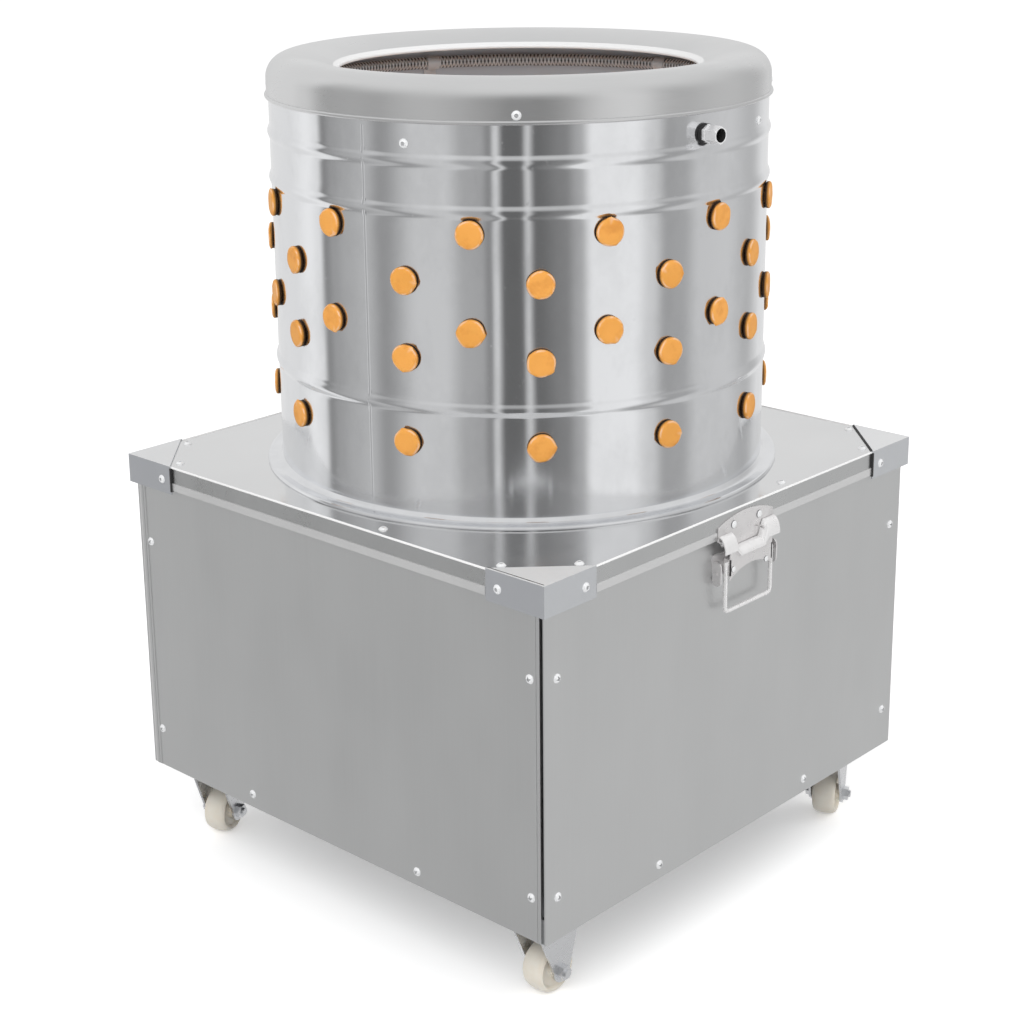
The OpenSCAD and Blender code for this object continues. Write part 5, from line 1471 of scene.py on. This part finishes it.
@dataclass
class DrawLatch:
    """Draw latch on the front: arched strike plate, hooked lever and wire pull ring."""

    layout: Layout
    strike_w: float = 0.088
    strike_t: float = 0.002
    strike_drop: float = 0.004
    strike_ends: float = 0.0265
    strike_foot: float = 0.038
    strike_rivets: tuple[RivetHead, ...] = (RivetHead(-0.0205, 0.014, 0.004, 0.002),
                                            RivetHead(0.0205, 0.014, 0.004, 0.002))
    arch_r: float = 0.115
    claw_w: float = 0.022
    hook_high: tuple[float, float] = (0.0355, 0.0205)
    hook_low: tuple[float, float] = (0.0440, 0.0375)
    hook_out: float = 0.0022
    roll_r: float = 0.0022
    roll_out: float = 0.0034
    roll_drop: float = 0.0278
    tongue_half: float = 0.019
    sheet: float = 0.0012
    lever_half: float = 0.034
    lever_y: float = -0.299
    lever_low: float = 0.066
    lever_rivets: tuple[RivetHead, ...] = (RivetHead(0.024, 0.0595, 0.0031, 0.0017),
                                           RivetHead(-0.029, 0.0555, 0.0031, 0.0017))
    ear_r: float = 0.0036
    ear_t: float = 0.0018
    ear_rise: float = 0.013
    low_arch_r: float = 0.062
    low_arch: float = 0.010
    pin_y: float = -0.2915
    pin_drop: float = 0.058
    ring_half: float = 0.0365
    ring_y: float = -0.2955
    ring_drop: float = 0.049
    ring_len: float = 0.049
    ring_bend: float = 0.0045
    pin_bend: float = 0.0015
    wire: float = 0.0043

    def down(self, drop: float) -> float:
        """Height of a place so far under the top of the lid."""
        return self.layout.lid_top - drop

    def dome(self, work: bmesh.types.BMesh, rivet: RivetHead, face_y: float) -> None:
        """Adds a domed rivet head that faces -Y.

        Args:
            work: The mesh that it goes into.
            rivet: The head.
            face_y: Where the face that it stands on is.
        """
        height = self.down(rivet.drop)
        around = 28
        rings = []
        for step in range(9):
            angle = math.radians(90.0 * step / 8.0)
            r, y = rivet.radius * math.cos(angle), face_y - rivet.rise * math.sin(angle)
            if step == 8:
                rings.append([work.verts.new((rivet.x, y, height))])
                continue
            rings.append([work.verts.new((rivet.x + r * math.cos(math.tau * k / around), y,
                                          height + r * math.sin(math.tau * k / around)))
                          for k in range(around)])
        back = [work.verts.new((v.co.x, face_y + 0.0006, v.co.z)) for v in rings[0]]
        work.faces.new(back)
        skin(work, [back] + rings)

    def slab(self, work: bmesh.types.BMesh, outline: Sequence[tuple[float, float]], start: float,
             depth: float, across: bool) -> None:
        """Adds a plate with the given outline.

        Args:
            work: The mesh that it goes into.
            outline: Points of X and Z, or of Y and Z where the plate lies across X.
            start: Its first face, on Y, or on X where it lies across.
            depth: Its thickness, along the same axis.
            across: Whether it lies across X.
        """
        ends = []
        for place in (start, start + depth):
            ends.append([work.verts.new((place, a, b) if across else (a, place, b)) for a, b in outline])
        work.faces.new(ends[0])
        work.faces.new(list(reversed(ends[1])))
        for k in range(len(outline)):
            after = (k + 1) % len(outline)
            work.faces.new((ends[0][k], ends[1][k], ends[1][after], ends[0][after]))

    def finish(self, work: bmesh.types.BMesh, name: str, width: float) -> bpy.types.Mesh:
        """Rounds the edges of a pressed piece and shades it.

        Args:
            work: The piece, which is freed.
            name: The new mesh's name.
            width: Width of the rounding, in metres.

        Returns:
            The plain mesh.
        """
        bmesh.ops.recalc_face_normals(work, faces=work.faces)
        holder = stand(name + "_work", to_mesh(work, name))
        rounded(holder, width, 40.0)
        return smooth(plain_mesh(holder, name), 50.0)

    def strike(self) -> bpy.types.Mesh:
        """The plate on the lid's lip, with its two rivets and the rolls that the lever hooks over.

        Returns:
            Its mesh.
        """
        work = bmesh.new()
        half, inner = self.strike_w / 2.0, self.strike_w / 2.0 - self.claw_w
        face = -self.layout.lid_half - self.strike_t
        top, ends = self.down(self.strike_drop), self.down(self.strike_ends)
        foot = self.down(self.strike_foot)
        outline = [(half, ends), (inner, ends), (inner, foot), (-inner, foot), (-inner, ends),
                   (-half, ends)]
        for step in range(33):
            x = -half + self.strike_w * step / 32.0
            outline.append((x, top - self.arch_r + math.sqrt(self.arch_r ** 2 - x * x)))
        self.slab(work, outline, face, self.strike_t, False)
        for rivet in self.strike_rivets:
            self.dome(work, rivet, face)
        middle, height = face - self.roll_out, self.down(self.roll_drop)
        roll = arc((middle, height), self.roll_r, 0.0, 360.0, 16)[:-1]
        tab = [(middle, height - 0.0009), (face + 0.0005, height + 0.0004),
               (face + 0.0005, height + 0.0022), (middle, height + 0.0009)]
        for start in (0.001 - half, half - self.claw_w):
            self.slab(work, roll, start, self.claw_w - 0.001, True)
            self.slab(work, tab, start, self.claw_w - 0.001, True)
        return self.finish(work, "latch_strike_pressed", 0.0004)

    def lever_rows(self, x: float) -> Profile:
        """Section of the lever, from the hook's top to the lower edge.

        The hook is low and slim in the middle, and climbs to a high, wide roll at both ends.

        Args:
            x: Place along the lever.

        Returns:
            Points of Y and Z; the first 13 are the hook.
        """
        inner, outer = self.tongue_half, self.strike_w / 2.0 - self.claw_w + 0.003
        share = min(1.0, max(0.0, (abs(x) - inner) / (outer - inner)))
        top, low = (self.down(mid + (end - mid) * share) for mid, end in (self.hook_high, self.hook_low))
        back = -self.layout.lid_half - self.strike_t - 0.0004
        front = self.lever_y - self.hook_out
        rows = []
        for step in range(13):
            angle = math.radians(90.0 * step / 12.0)
            rows.append((back + (front - back) * math.sin(angle), low + (top - low) * math.cos(angle)))
        arch = self.down(self.lever_low) - self.low_arch_r + self.low_arch
        edge = max(self.down(self.lever_low), arch + math.sqrt(max(0.0, self.low_arch_r ** 2 - x * x)))
        for step in range(9):
            rows.append((self.lever_y, low - 0.0012 + (edge - low + 0.0012) * step / 8.0))
        return rows

    def lever(self) -> bpy.types.Mesh:
        """The lever: a hook bent over the strike's rolls, a plate with an arched edge, and two ears.

        Returns:
            Its mesh.
        """
        work = bmesh.new()
        steps = 88
        half = self.strike_w / 2.0
        grid = []
        for step in range(steps + 1):
            x = -half + 2.0 * half * step / steps
            column = self.lever_rows(x)
            if abs(x) > self.lever_half + 0.0002:
                column = column[:13]
            grid.append([work.verts.new((x, y, z)) for y, z in column])
        for left, right in zip(grid, grid[1:]):
            for k in range(min(len(left), len(right)) - 1):
                work.faces.new((left[k], left[k + 1], right[k + 1], right[k]))
        bmesh.ops.recalc_face_normals(work, faces=work.faces)
        if sum(face.normal.y * face.calc_area() for face in work.faces) > 0.0:
            bmesh.ops.reverse_faces(work, faces=work.faces)
        bent = stand("lever_work", to_mesh(work, "lever_sheet"))
        wall = bent.modifiers.new("wall", "SOLIDIFY")
        wall.thickness, wall.offset = self.sheet, -1.0
        sheet = plain_mesh(bent, "lever_sheet")
        work = bmesh.new()
        work.from_mesh(sheet)
        pivot, ear_r = self.down(self.pin_drop), self.ear_r
        ear = [(self.lever_y, pivot - ear_r), (self.pin_y, pivot - ear_r)]
        for k in range(1, 12):
            angle = math.pi * k / 12
            ear.append((self.pin_y + ear_r * math.sin(angle), pivot - ear_r * math.cos(angle)))
        ear += [(self.pin_y, pivot + self.ear_rise), (self.lever_y, pivot + self.ear_rise)]
        for side in (-1.0, 1.0):
            start = side * self.lever_half - (self.ear_t if side > 0 else 0.0)
            self.slab(work, ear, start, self.ear_t, True)
        for rivet in self.lever_rivets:
            self.dome(work, rivet, self.lever_y + 0.0001)
        return self.finish(work, "latch_lever_pressed", 0.00025)

    def ring(self) -> bpy.types.Mesh:
        """The pull ring: round wire bent to a bail with rounded corners.

        Returns:
            Its mesh.
        """
        low, pivot = self.down(self.ring_drop + self.ring_len), self.down(self.ring_drop)
        half, y, around = self.ring_half, self.ring_y, 16
        path = [Vector((half - self.ring_bend, y, pivot)), Vector((half - self.pin_bend, y, pivot))]
        corners = ((half, pivot, 90.0, self.pin_bend), (half, low, 0.0, self.ring_bend),
                   (-half, low, -90.0, self.ring_bend), (-half, pivot, -180.0, self.pin_bend))
        for x, z, start, r in corners:
            centre = Vector((x - math.copysign(r, x), y, z + (r if z < pivot else -r)))
            for step in range(9):
                angle = math.radians(start - 90.0 * step / 8.0)
                path.append(centre + Vector((r * math.cos(angle), 0.0, r * math.sin(angle))))
        path.append(Vector((-half + self.ring_bend, y, pivot)))
        work = bmesh.new()
        rings = []
        out = Vector((0.0, 1.0, 0.0))
        for index, point in enumerate(path):
            ahead = path[min(index + 1, len(path) - 1)] - path[max(index - 1, 0)]
            side = ahead.normalized().cross(out)
            ring = []
            for k in range(around):
                angle = math.tau * k / around
                ring.append(work.verts.new(
                    point + self.wire / 2.0 * (math.cos(angle) * side + math.sin(angle) * out)))
            rings.append(ring)
        skin(work, rings)
        work.faces.new(rings[0])
        work.faces.new(list(reversed(rings[-1])))
        bmesh.ops.recalc_face_normals(work, faces=work.faces)
        return smooth(to_mesh(work, "latch_ring_bent"), 50.0)

    def bright_heads(self, piece: bpy.types.Object, face_y: float, heads: Sequence[RivetHead]) -> None:
        """Gives the rivet heads of a plate a bright white-plated crown and a painted shade ring at the
        foot.

        Args:
            piece: The plate that they stand on.
            face_y: Where the plate's face is.
            heads: The heads.
        """
        first = len(piece.data.materials)
        for recipe in (HEAD_PLATE, RIVET_FOOT_PAINTED_SHADE):
            piece.data.materials.append(SHELF.special(recipe))
        for face in piece.data.polygons:
            for head in heads:
                away = math.hypot(face.center.x - head.x, face.center.z - self.down(head.drop))
                if face.center.y < face_y - 0.00005 and away < head.radius * 1.01:
                    face.material_index = first + (1 if away > head.radius * 0.9 else 0)

    def build(self) -> None:
        """Makes the strike, the lever and the ring; the base keeps the CAD shape."""
        plate = SHELF.special(LATCH_PLATE)
        strike = keep("latch_strike_pressed", self.strike(), "drum_and_lid", plate,
                      ("latch_strike",))
        lever = keep("latch_lever_pressed", self.lever(), "latch_lever_body", plate,
                     ("latch_lever",))
        # Painted highlight: the hook, above its foot, wears a brighter copy of the plate's finish.
        lever.data.materials.append(SHELF.special(LATCH_HOOK_PAINTED_LIGHT))
        for face in lever.data.polygons:
            hook_foot = self.lever_rows(face.center.x)[12][1]
            face.material_index = 1 if face.center.z > hook_foot - 0.0003 else 0
        self.bright_heads(lever, self.lever_y, self.lever_rivets)
        self.bright_heads(strike, -self.layout.lid_half - self.strike_t, self.strike_rivets)
        keep("latch_ring_bent", self.ring(), "latch_ring_body", SHELF.special(RING_WIRE),
             ("latch_ring",))


@dataclass
class Casters:
    """The casters' moulded nylon wheels, each on its own swivelled axle."""

    layout: Layout
    offset: float = 0.238
    trail: float = 0.008
    radius: float = 0.025
    half_width: float = 0.0125
    hub_r: float = 0.009
    hub_half: float = 0.0157
    bore_r: float = 0.00405
    turns: tuple[tuple[str, int, int, float], ...] = (
        ("front", -1, -1, 0.0), ("left", -1, 1, 20.0), ("right", 1, -1, 23.0), ("back", 1, 1, -15.0))

    def wheel_profile(self) -> Profile:
        """Closed outline of a wheel: crowned tread, dished sides and a bored hub.

        Returns:
            Points of radius and place along the axle.
        """
        r, half, hub, end = self.radius, self.half_width, self.hub_r, self.hub_half
        side = [(self.bore_r, end), (hub - 0.0006, end), (hub, end - 0.0006),
                (hub + 0.0006, half - 0.0035), (hub + 0.002, half - 0.0042), (r * 0.66, half - 0.0042),
                (r * 0.72, half - 0.0036), (r * 0.76, half - 0.0012), (r * 0.80, half - 0.0003),
                (r * 0.84, half), (r * 0.89, half - 0.0006), (r * 0.935, half - 0.0021),
                (r * 0.966, half - 0.0043), (r * 0.986, half - 0.0068), (r * 0.997, half - 0.0096),
                (r, half - 0.0125)]
        return side + [(rr, -z) for rr, z in reversed(side[:-1])]

    def build(self) -> None:
        """Makes the four wheels."""
        nylon = SHELF.get(Slot.WHEEL)
        for name, sx, sy, degrees in self.turns:
            turn = math.radians(degrees)
            work = lathe(self.wheel_profile(), 72, True)
            place = Matrix.Translation((sx * self.offset + self.trail * math.cos(turn),
                                        sy * self.offset + self.trail * math.sin(turn), self.radius))
            steer, upright = Matrix.Rotation(turn, 4, "Z"), Matrix.Rotation(math.radians(90.0), 4, "X")
            work.transform(place @ steer @ upright)
            keep(f"{name}_wheel_moulded", smooth(to_mesh(work, f"{name}_wheel"), 36.0),
                 f"{name}_wheel", nylon, (f"{name}_caster_wheel",))


@dataclass
class SheetWork:
    """Folded and pressed pieces that keep the CAD shape, with small rounded edges."""

    layout: Layout
    rounding: dict[str, float] = field(default_factory=lambda: {
        "front_panel": 0.0004, "left_panel": 0.0004, "right_panel": 0.0004, "rear_panel": 0.0004,
        "lid": 0.0014, "corner_braces": 0.001, "latch_base": 0.0003, "switch_box": 0.0012,
        "cable_gland": 0.0005, "start_button": 0.0012, "stop_button": 0.0012,
        "caster_plates": 0.0004, "inlet_fitting": 0.0004, "feather_chute": 0.0003,
        "cabinet_hinge_leaves": 0.0004, "lid_hinge_leaves": 0.0004, "motor_terminal_box": 0.0012,
        "upper_bearing": 0.0015, "lower_bearing": 0.0015, "motor_fan_cover": 0.0008,
        "hose_clips": 0.0, "driven_pulley": 0.0006, "motor_pulley": 0.0006,
        "front_caster_fork": 0.0005, "left_caster_fork": 0.0005, "right_caster_fork": 0.0005,
        "back_caster_fork": 0.0005, "plate_hub": 0.0008, "feather_plate": 0.0006})
    special: dict[str, Finish] = field(default_factory=lambda: {
        "lid": LID_SHEET, "corner_braces": BRACE_SHEET, "front_panel": PANEL_SHEET,
        "left_panel": PANEL_SHEET, "right_panel": PANEL_SHEET, "rear_panel": PANEL_SHEET,
        "feather_chute": CHUTE_SHEET, "inlet_fitting": INLET_PLATE, "latch_base": LATCH_PLATE,
        "hose_clips": CLIP_PLATE})
    socket_r: float = 0.0066
    socket_deep: float = 0.0103
    edge_band: float = 0.004
    edge_drop: float = 0.003
    brace_reach: float = 0.068
    seal_out: float = 0.0030
    seal_w: float = 0.0018
    seal_h: float = 0.0252
    seal_drop: float = 0.0133
    edge_bar: float = 0.0019

    def material(self, node: str, slot: Slot) -> bpy.types.Material:
        """The material of a node: its own sheet where it has one, else the slot's."""
        return SHELF.special(self.special[node]) if node in self.special else SHELF.get(slot)

    def build(self, replaced: set[str]) -> None:
        """Softens the listed nodes, and gives every other node its finish.

        Args:
            replaced: The nodes that other pieces stand for already.
        """
        slots = {row["node"]: Slot(row["material_slot"]) for row in frame["record"]["subparts"]}
        groups = frame["record"]["behaviour"]["bodies"]
        bodies = {node: body for body, nodes in groups.items() for node in nodes}
        for node, thing in frame["nodes"].items():
            material = self.material(node, slots[node])
            thing.data.materials.clear()
            thing.data.materials.append(material)
            if node in replaced or node not in self.rounding:
                continue
            width = self.rounding[node]
            mesh = softened(node, width) if width > 0.0 else smooth(softened(node, 0.00001), 38.0)
            piece = keep(node + "_dressed", mesh, bodies[node], material, (node,))
            self.part_finish(node, piece)
        self.brace_seals(bodies["lid"])
        self.lid_edges(bodies["lid"])
        self.corner_fold(bodies["left_panel"])

    def part_finish(self, node: str, piece: bpy.types.Object) -> None:
        """Gives some faces of a piece a finish of their own.

        Painted light and shade: the lid's lip, hem and edge, the braces' tops, sides and edges, and the
        inlet's socket.

        Args:
            node: The CAD node that the piece stands for.
            piece: The piece.
        """
        lay = self.layout
        mount = next(row for row in frame["record"]["mounts"] if row["name"] == "water_inlet")
        place, way = Vector(mount["pos_m"]), Vector(mount["axis"]).normalized()

        def reach(middle: Vector) -> float:
            """How far out a face is, towards the nearest of the four sides."""
            return max(abs(middle.x), abs(middle.y))

        def in_socket(normal: Vector, middle: Vector) -> bool:
            """Whether a face lies in the inlet's socket."""
            arm = middle - place
            along = arm.dot(way)
            near = (arm - along * way).length < self.socket_r
            return near and -self.socket_deep < along < -0.0002

        def on_top(normal: Vector, middle: Vector) -> bool:
            """Whether a face is the upper side of a brace, which stands on the lid."""
            return normal.z > 0.7 and middle.z > lay.lid_top

        def on_left(normal: Vector, middle: Vector) -> bool:
            """Whether a face looks to the -X side."""
            return normal.x < -0.7

        def on_lip(normal: Vector, middle: Vector) -> bool:
            """Whether a face is on the lid's upright lip."""
            return abs(normal.z) < 0.6 and reach(middle) > lay.lid_half - 0.0004

        def on_hem(normal: Vector, middle: Vector) -> bool:
            """Whether a face is on the lip's hem, which stands out from it."""
            return reach(middle) > lay.lid_half + 0.0003

        def on_edge(normal: Vector, middle: Vector) -> bool:
            """Whether a face is on the rounded top edge, which gets a painted highlight."""
            outer = reach(middle) > lay.lid_half - self.edge_band
            return 0.25 < normal.z < 0.985 and outer and middle.z > lay.lid_top - self.edge_drop

        rules = {
            # Painted shade: the inside of the inlet's socket wears black rubber, for the dark of the deep
            # bore.
            "inlet_fitting": ((SHELF.recipes[Slot.BLACK_RUBBER], in_socket),),
            "corner_braces": ((BRACE_TOP_PAINTED_LIGHT, on_top), (BRACE_SIDE_PAINTED_SHADE, on_left), (EDGE_PAINTED_HIGHLIGHT, on_edge)),
            "lid": ((LIP_PAINTED_SHADE, on_lip), (HEM_PAINTED_LIGHT, on_hem), (EDGE_PAINTED_HIGHLIGHT, on_edge))}
        for index, (recipe, rule) in enumerate(rules.get(node, ())):
            piece.data.materials.append(SHELF.special(recipe))
            for face in piece.data.polygons:
                if rule(face.normal, face.center):
                    face.material_index = index + 1

    def brace_seals(self, body: str) -> None:
        """Black rubber strips where three of the corner braces meet the lid: painted shadow in the gaps.

        Args:
            body: The body that they ride on.
        """
        top, half = self.layout.lid_top, self.layout.lid_half
        end = half - self.brace_reach
        out, low = -half - 0.0009, top - self.seal_drop
        mid = self.brace_reach / 2.0
        # Beside the left and the right brace on the lip, then the right brace's long edge on top,
        # then the front brace's edge along the left side
        strips = (((out, end - 0.0006, low), (self.seal_out, self.seal_w, self.seal_h), 0.0),
                  ((end - 0.0006, out, low), (self.seal_w, self.seal_out, self.seal_h), 0.0),
                  ((half - mid + 0.0005, mid - half + 0.0005, top + 0.0005),
                   (0.094, 0.0013, 0.0012), 45.0),
                  ((0.0012 - half, mid - half, top + 0.0014), (0.0008, 0.066, 0.0006), 0.0))
        work = bmesh.new()
        for middle, size, turn in strips:
            bar(work, Matrix.Translation(middle) @ Matrix.Rotation(math.radians(turn), 4, "Z"), size)
        keep("brace_seals", to_mesh(work, "brace_seals"), body,
             SHELF.get(Slot.BLACK_RUBBER))

    def lid_edges(self, body: str) -> None:
        """A painted highlight along the lid's four folded edges: bright bars set on a slant.

        Args:
            body: The body that they ride on.
        """
        half = self.layout.lid_half
        corner = Matrix.Translation((0.0005 - half, 0.0, self.layout.lid_top - 0.0005))
        work = bmesh.new()
        for turn in range(4):
            side = Matrix.Rotation(math.radians(90.0 * turn), 4, "Z")
            bar(work, side @ corner @ Matrix.Rotation(math.radians(45.0), 4, "Y"),
                (self.edge_bar, 2.0 * (half - self.brace_reach), self.edge_bar))
        keep("lid_edges", to_mesh(work, "lid_edges"), body, SHELF.special(EDGE_PAINTED_HIGHLIGHT))

    def corner_fold(self, body: str) -> None:
        """A painted highlight: a bright bar on the folded edge at the left panel's far corner.

        Args:
            body: The body that it rides on.
        """
        low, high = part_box("left_panel")
        half = self.layout.cabinet_half
        work = bmesh.new()
        bar(work, Matrix.Translation((0.0007 - half, half - 0.0030, (low.z + high.z) / 2.0)),
            (0.0010, 0.0030, high.z - low.z))
        keep("corner_fold", to_mesh(work, "corner_fold"), body, SHELF.special(HEM_PAINTED_LIGHT))


@dataclass
class Studio:
    """White floor, soft lamps, a studio's bright and dark sides in the world, and the camera."""

    camera_place: tuple[float, float, float] = (-1.48023, -1.35576, 1.06143)
    azimuth: float = -47.2344
    pitch: float = 15.8982
    roll: float = -0.5782
    lens: float = 70.016
    shift_y: float = -0.10939
    floor_white: float = 0.3
    floor_reach: float = 14.0
    floor_drop: float = 0.0004
    lamps: tuple[tuple[str, tuple[float, float, float], float, float], ...] = (
        ("key_lamp", (-2.2, -1.2, 2.6), 2.4, 46.0), ("fill_lamp", (2.4, -1.6, 1.8), 2.2, 20.0))
    lamps_look_at: float = 0.45
    bulb_power: float = 0.7
    bulb_r: float = 0.09
    bulb_z: float = 0.70
    front: float = -137.5
    matt_white: float = 0.82
    overhead: float = 0.76
    sides: tuple[tuple[float, float], ...] = (
        (-180, 0.80), (-128, 0.78), (-112, 0.90), (-104, 0.80), (-100, 0.24), (-94, 0.36),
        (-84, 0.44), (-74, 0.50), (-65, 0.32), (-46, 0.62), (-34, 0.62), (-24, 0.42),
        (-17, 0.40), (-13, 0.24), (-10.5, 0.74), (-7, 0.14), (1, 0.14), (4, 0.66),
        (7, 0.15), (20, 0.24), (27, 0.42), (33, 0.86), (52, 0.88), (62, 0.66), (70, 0.38),
        (78, 0.40), (90, 0.60), (108, 0.62), (130, 0.50), (150, 0.78), (180, 0.80))

    def camera(self) -> None:
        """The camera at the photograph's viewing angle."""
        data = bpy.data.cameras.new("view_camera")
        data.lens = self.lens
        data.sensor_width = 36.0
        data.shift_y = self.shift_y
        data.clip_start, data.clip_end = 0.05, 60.0
        thing = stand("view_camera", data)
        az, pitch, roll = (math.radians(v) for v in (self.azimuth, self.pitch, self.roll))
        back = Vector((math.sin(az) * math.cos(pitch), -math.cos(az) * math.cos(pitch), math.sin(pitch)))
        right = Vector((math.cos(az), math.sin(az), 0.0))
        up = back.cross(right)
        turned_right = math.cos(roll) * right + math.sin(roll) * up
        turned_up = -math.sin(roll) * right + math.cos(roll) * up
        thing.matrix_world = Matrix.Translation(self.camera_place) @ Matrix(
            (turned_right, turned_up, back)).transposed().to_4x4()
        bpy.context.scene.camera = thing

    def floor(self) -> None:
        """The pale floor, which keeps the object's shadow."""
        work = bmesh.new()
        corners = ((-1, -1), (1, -1), (1, 1), (-1, 1))
        work.faces.new([work.verts.new((x * self.floor_reach, y * self.floor_reach, -self.floor_drop))
                        for x, y in corners])
        thing = stand("studio_floor", to_mesh(work, "studio_floor"))
        material, weave, shader, place = new_shader("white_paper")
        mottle = weave.spread(weave.noise(place, 2.0, 2.0))
        weave.feed(shader.inputs["Base Color"],
                   weave.blend(mottle, (0.93, 0.93, 0.93), (0.95, 0.95, 0.95)))
        shader.inputs["Roughness"].default_value = 0.9
        shader.inputs["Specular IOR Level"].default_value = 0.1
        seen = weave.add("ShaderNodeLightPath").outputs["Is Camera Ray"]
        glow = weave.add("ShaderNodeEmission", {
            "Color": (1.0, 1.0, 1.0), "Strength": weave.maths("MULTIPLY", seen, self.floor_white)})
        both = weave.add("ShaderNodeAddShader", {0: shader.outputs[0], 1: glow.outputs[0]})
        exit_node = next(n for n in material.node_tree.nodes if n.type == "OUTPUT_MATERIAL")
        weave.feed(exit_node.inputs["Surface"], both.outputs[0])
        thing.data.materials.append(material)
        thing.visible_glossy = False

    def lamp(self, name: str, place: Sequence[float], size: float, power: float) -> None:
        """One large soft lamp that looks at the middle of the machine.

        Args:
            name: The lamp's name.
            place: Where it hangs.
            size: Its diameter, in metres.
            power: Its power, in watts.
        """
        data = bpy.data.lights.new(name, "AREA")
        data.shape = "DISK"
        data.size = size
        data.energy = power
        thing = stand(name, data)
        thing.location = place
        thing.rotation_mode = "QUATERNION"
        back = Vector(place) - Vector((0.0, 0.0, self.lamps_look_at))
        thing.rotation_quaternion = back.to_track_quat("Z", "Y")
        thing.visible_glossy = False

    def bulb(self) -> None:
        """A small soft lamp in the drum, which lights the hose and the bore under the rim."""
        data = bpy.data.lights.new("drum_lamp", "POINT")
        data.energy, data.shadow_soft_size = self.bulb_power, self.bulb_r
        thing = stand("drum_lamp", data)
        thing.location = (0.0, 0.0, self.bulb_z)
        thing.visible_glossy = False
        thing.visible_camera = False

    def world(self) -> None:
        """White to the camera, even to matt surfaces, and a studio's sides to shiny ones.

        The sides are greys at angles round the machine, in degrees from the camera's own.
        """
        world = bpy.data.worlds.new("studio_world")
        bpy.context.scene.world = world
        world.use_nodes = True
        weave = Weave(world.node_tree)
        way = weave.add("ShaderNodeTexCoord").outputs["Generated"]
        parts = weave.add("ShaderNodeSeparateXYZ", {0: way})
        turn = weave.maths("ARCTAN2", parts.outputs[1], parts.outputs[0])
        turn = weave.maths("ADD", weave.maths("MULTIPLY", turn, 180.0 / math.pi), -self.front)
        turn = weave.maths("MODULO", weave.maths("ADD", turn, 540.0), 360.0)
        ramp = weave.add("ShaderNodeValToRGB", {0: weave.maths("DIVIDE", turn, 360.0)})
        ramp.color_ramp.interpolation = "EASE"
        elements = ramp.color_ramp.elements
        while len(elements) > 1:
            elements.remove(elements[-1])
        for index, (degrees, grey) in enumerate(self.sides):
            spot = (degrees + 180.0) / 360.0
            element = elements[0] if index == 0 else elements.new(spot)
            element.position = spot
            element.color = (grey, grey, grey, 1.0)
        above = weave.ramp(parts.outputs[2], 0.3, 0.75)
        shiny = weave.blend(above, ramp.outputs[0], (self.overhead,) * 3)
        light = weave.add("ShaderNodeLightPath")
        white = (1.0, 1.0, 1.0)
        shiny_bg = weave.add("ShaderNodeBackground", {"Color": shiny, "Strength": 1.0})
        matt_bg = weave.add("ShaderNodeBackground", {"Color": white, "Strength": self.matt_white})
        white_bg = weave.add("ShaderNodeBackground", {"Color": white, "Strength": 1.0})
        first = weave.add("ShaderNodeMixShader", {
            0: light.outputs["Is Glossy Ray"], 1: matt_bg.outputs[0], 2: shiny_bg.outputs[0]})
        second = weave.add("ShaderNodeMixShader", {
            0: light.outputs["Is Camera Ray"], 1: first.outputs[0], 2: white_bg.outputs[0]})
        weave.add("ShaderNodeOutputWorld", {0: second.outputs[0]})

    def build(self) -> None:
        """Sets up the studio."""
        self.floor()
        for name, place, size, power in self.lamps:
            self.lamp(name, place, size, power)
        self.bulb()
        self.world()
        self.camera()
        bpy.context.scene.view_settings.view_transform = "Standard"


def replaced_nodes() -> set[str]:
    """The nodes that a sub-assembly's own pieces stand for.

    Returns:
        Their names.
    """
    wheels = {f"{name}_caster_wheel" for name in ("front", "left", "right", "back")}
    return wheels | {"drum_shell", "rim_cap", "spray_hose", "wall_fingers", "plate_fingers",
                     "panel_screws", "lid_screws", "rim_screws", "latch_strike", "latch_lever",
                     "latch_ring"}


def main() -> None:
    """Builds the plucker's dressed pieces and the studio."""
    logging.basicConfig(level=logging.INFO, format="%(message)s")
    layout = Layout()
    Studio().build()
    DrumAssembly(layout).build()
    Fingers(layout).build()
    DrawLatch(layout).build()
    Casters(layout).build()
    Fasteners(layout).dress()
    SheetWork(layout).build(replaced_nodes())


if __name__ == "__main__":
    main()
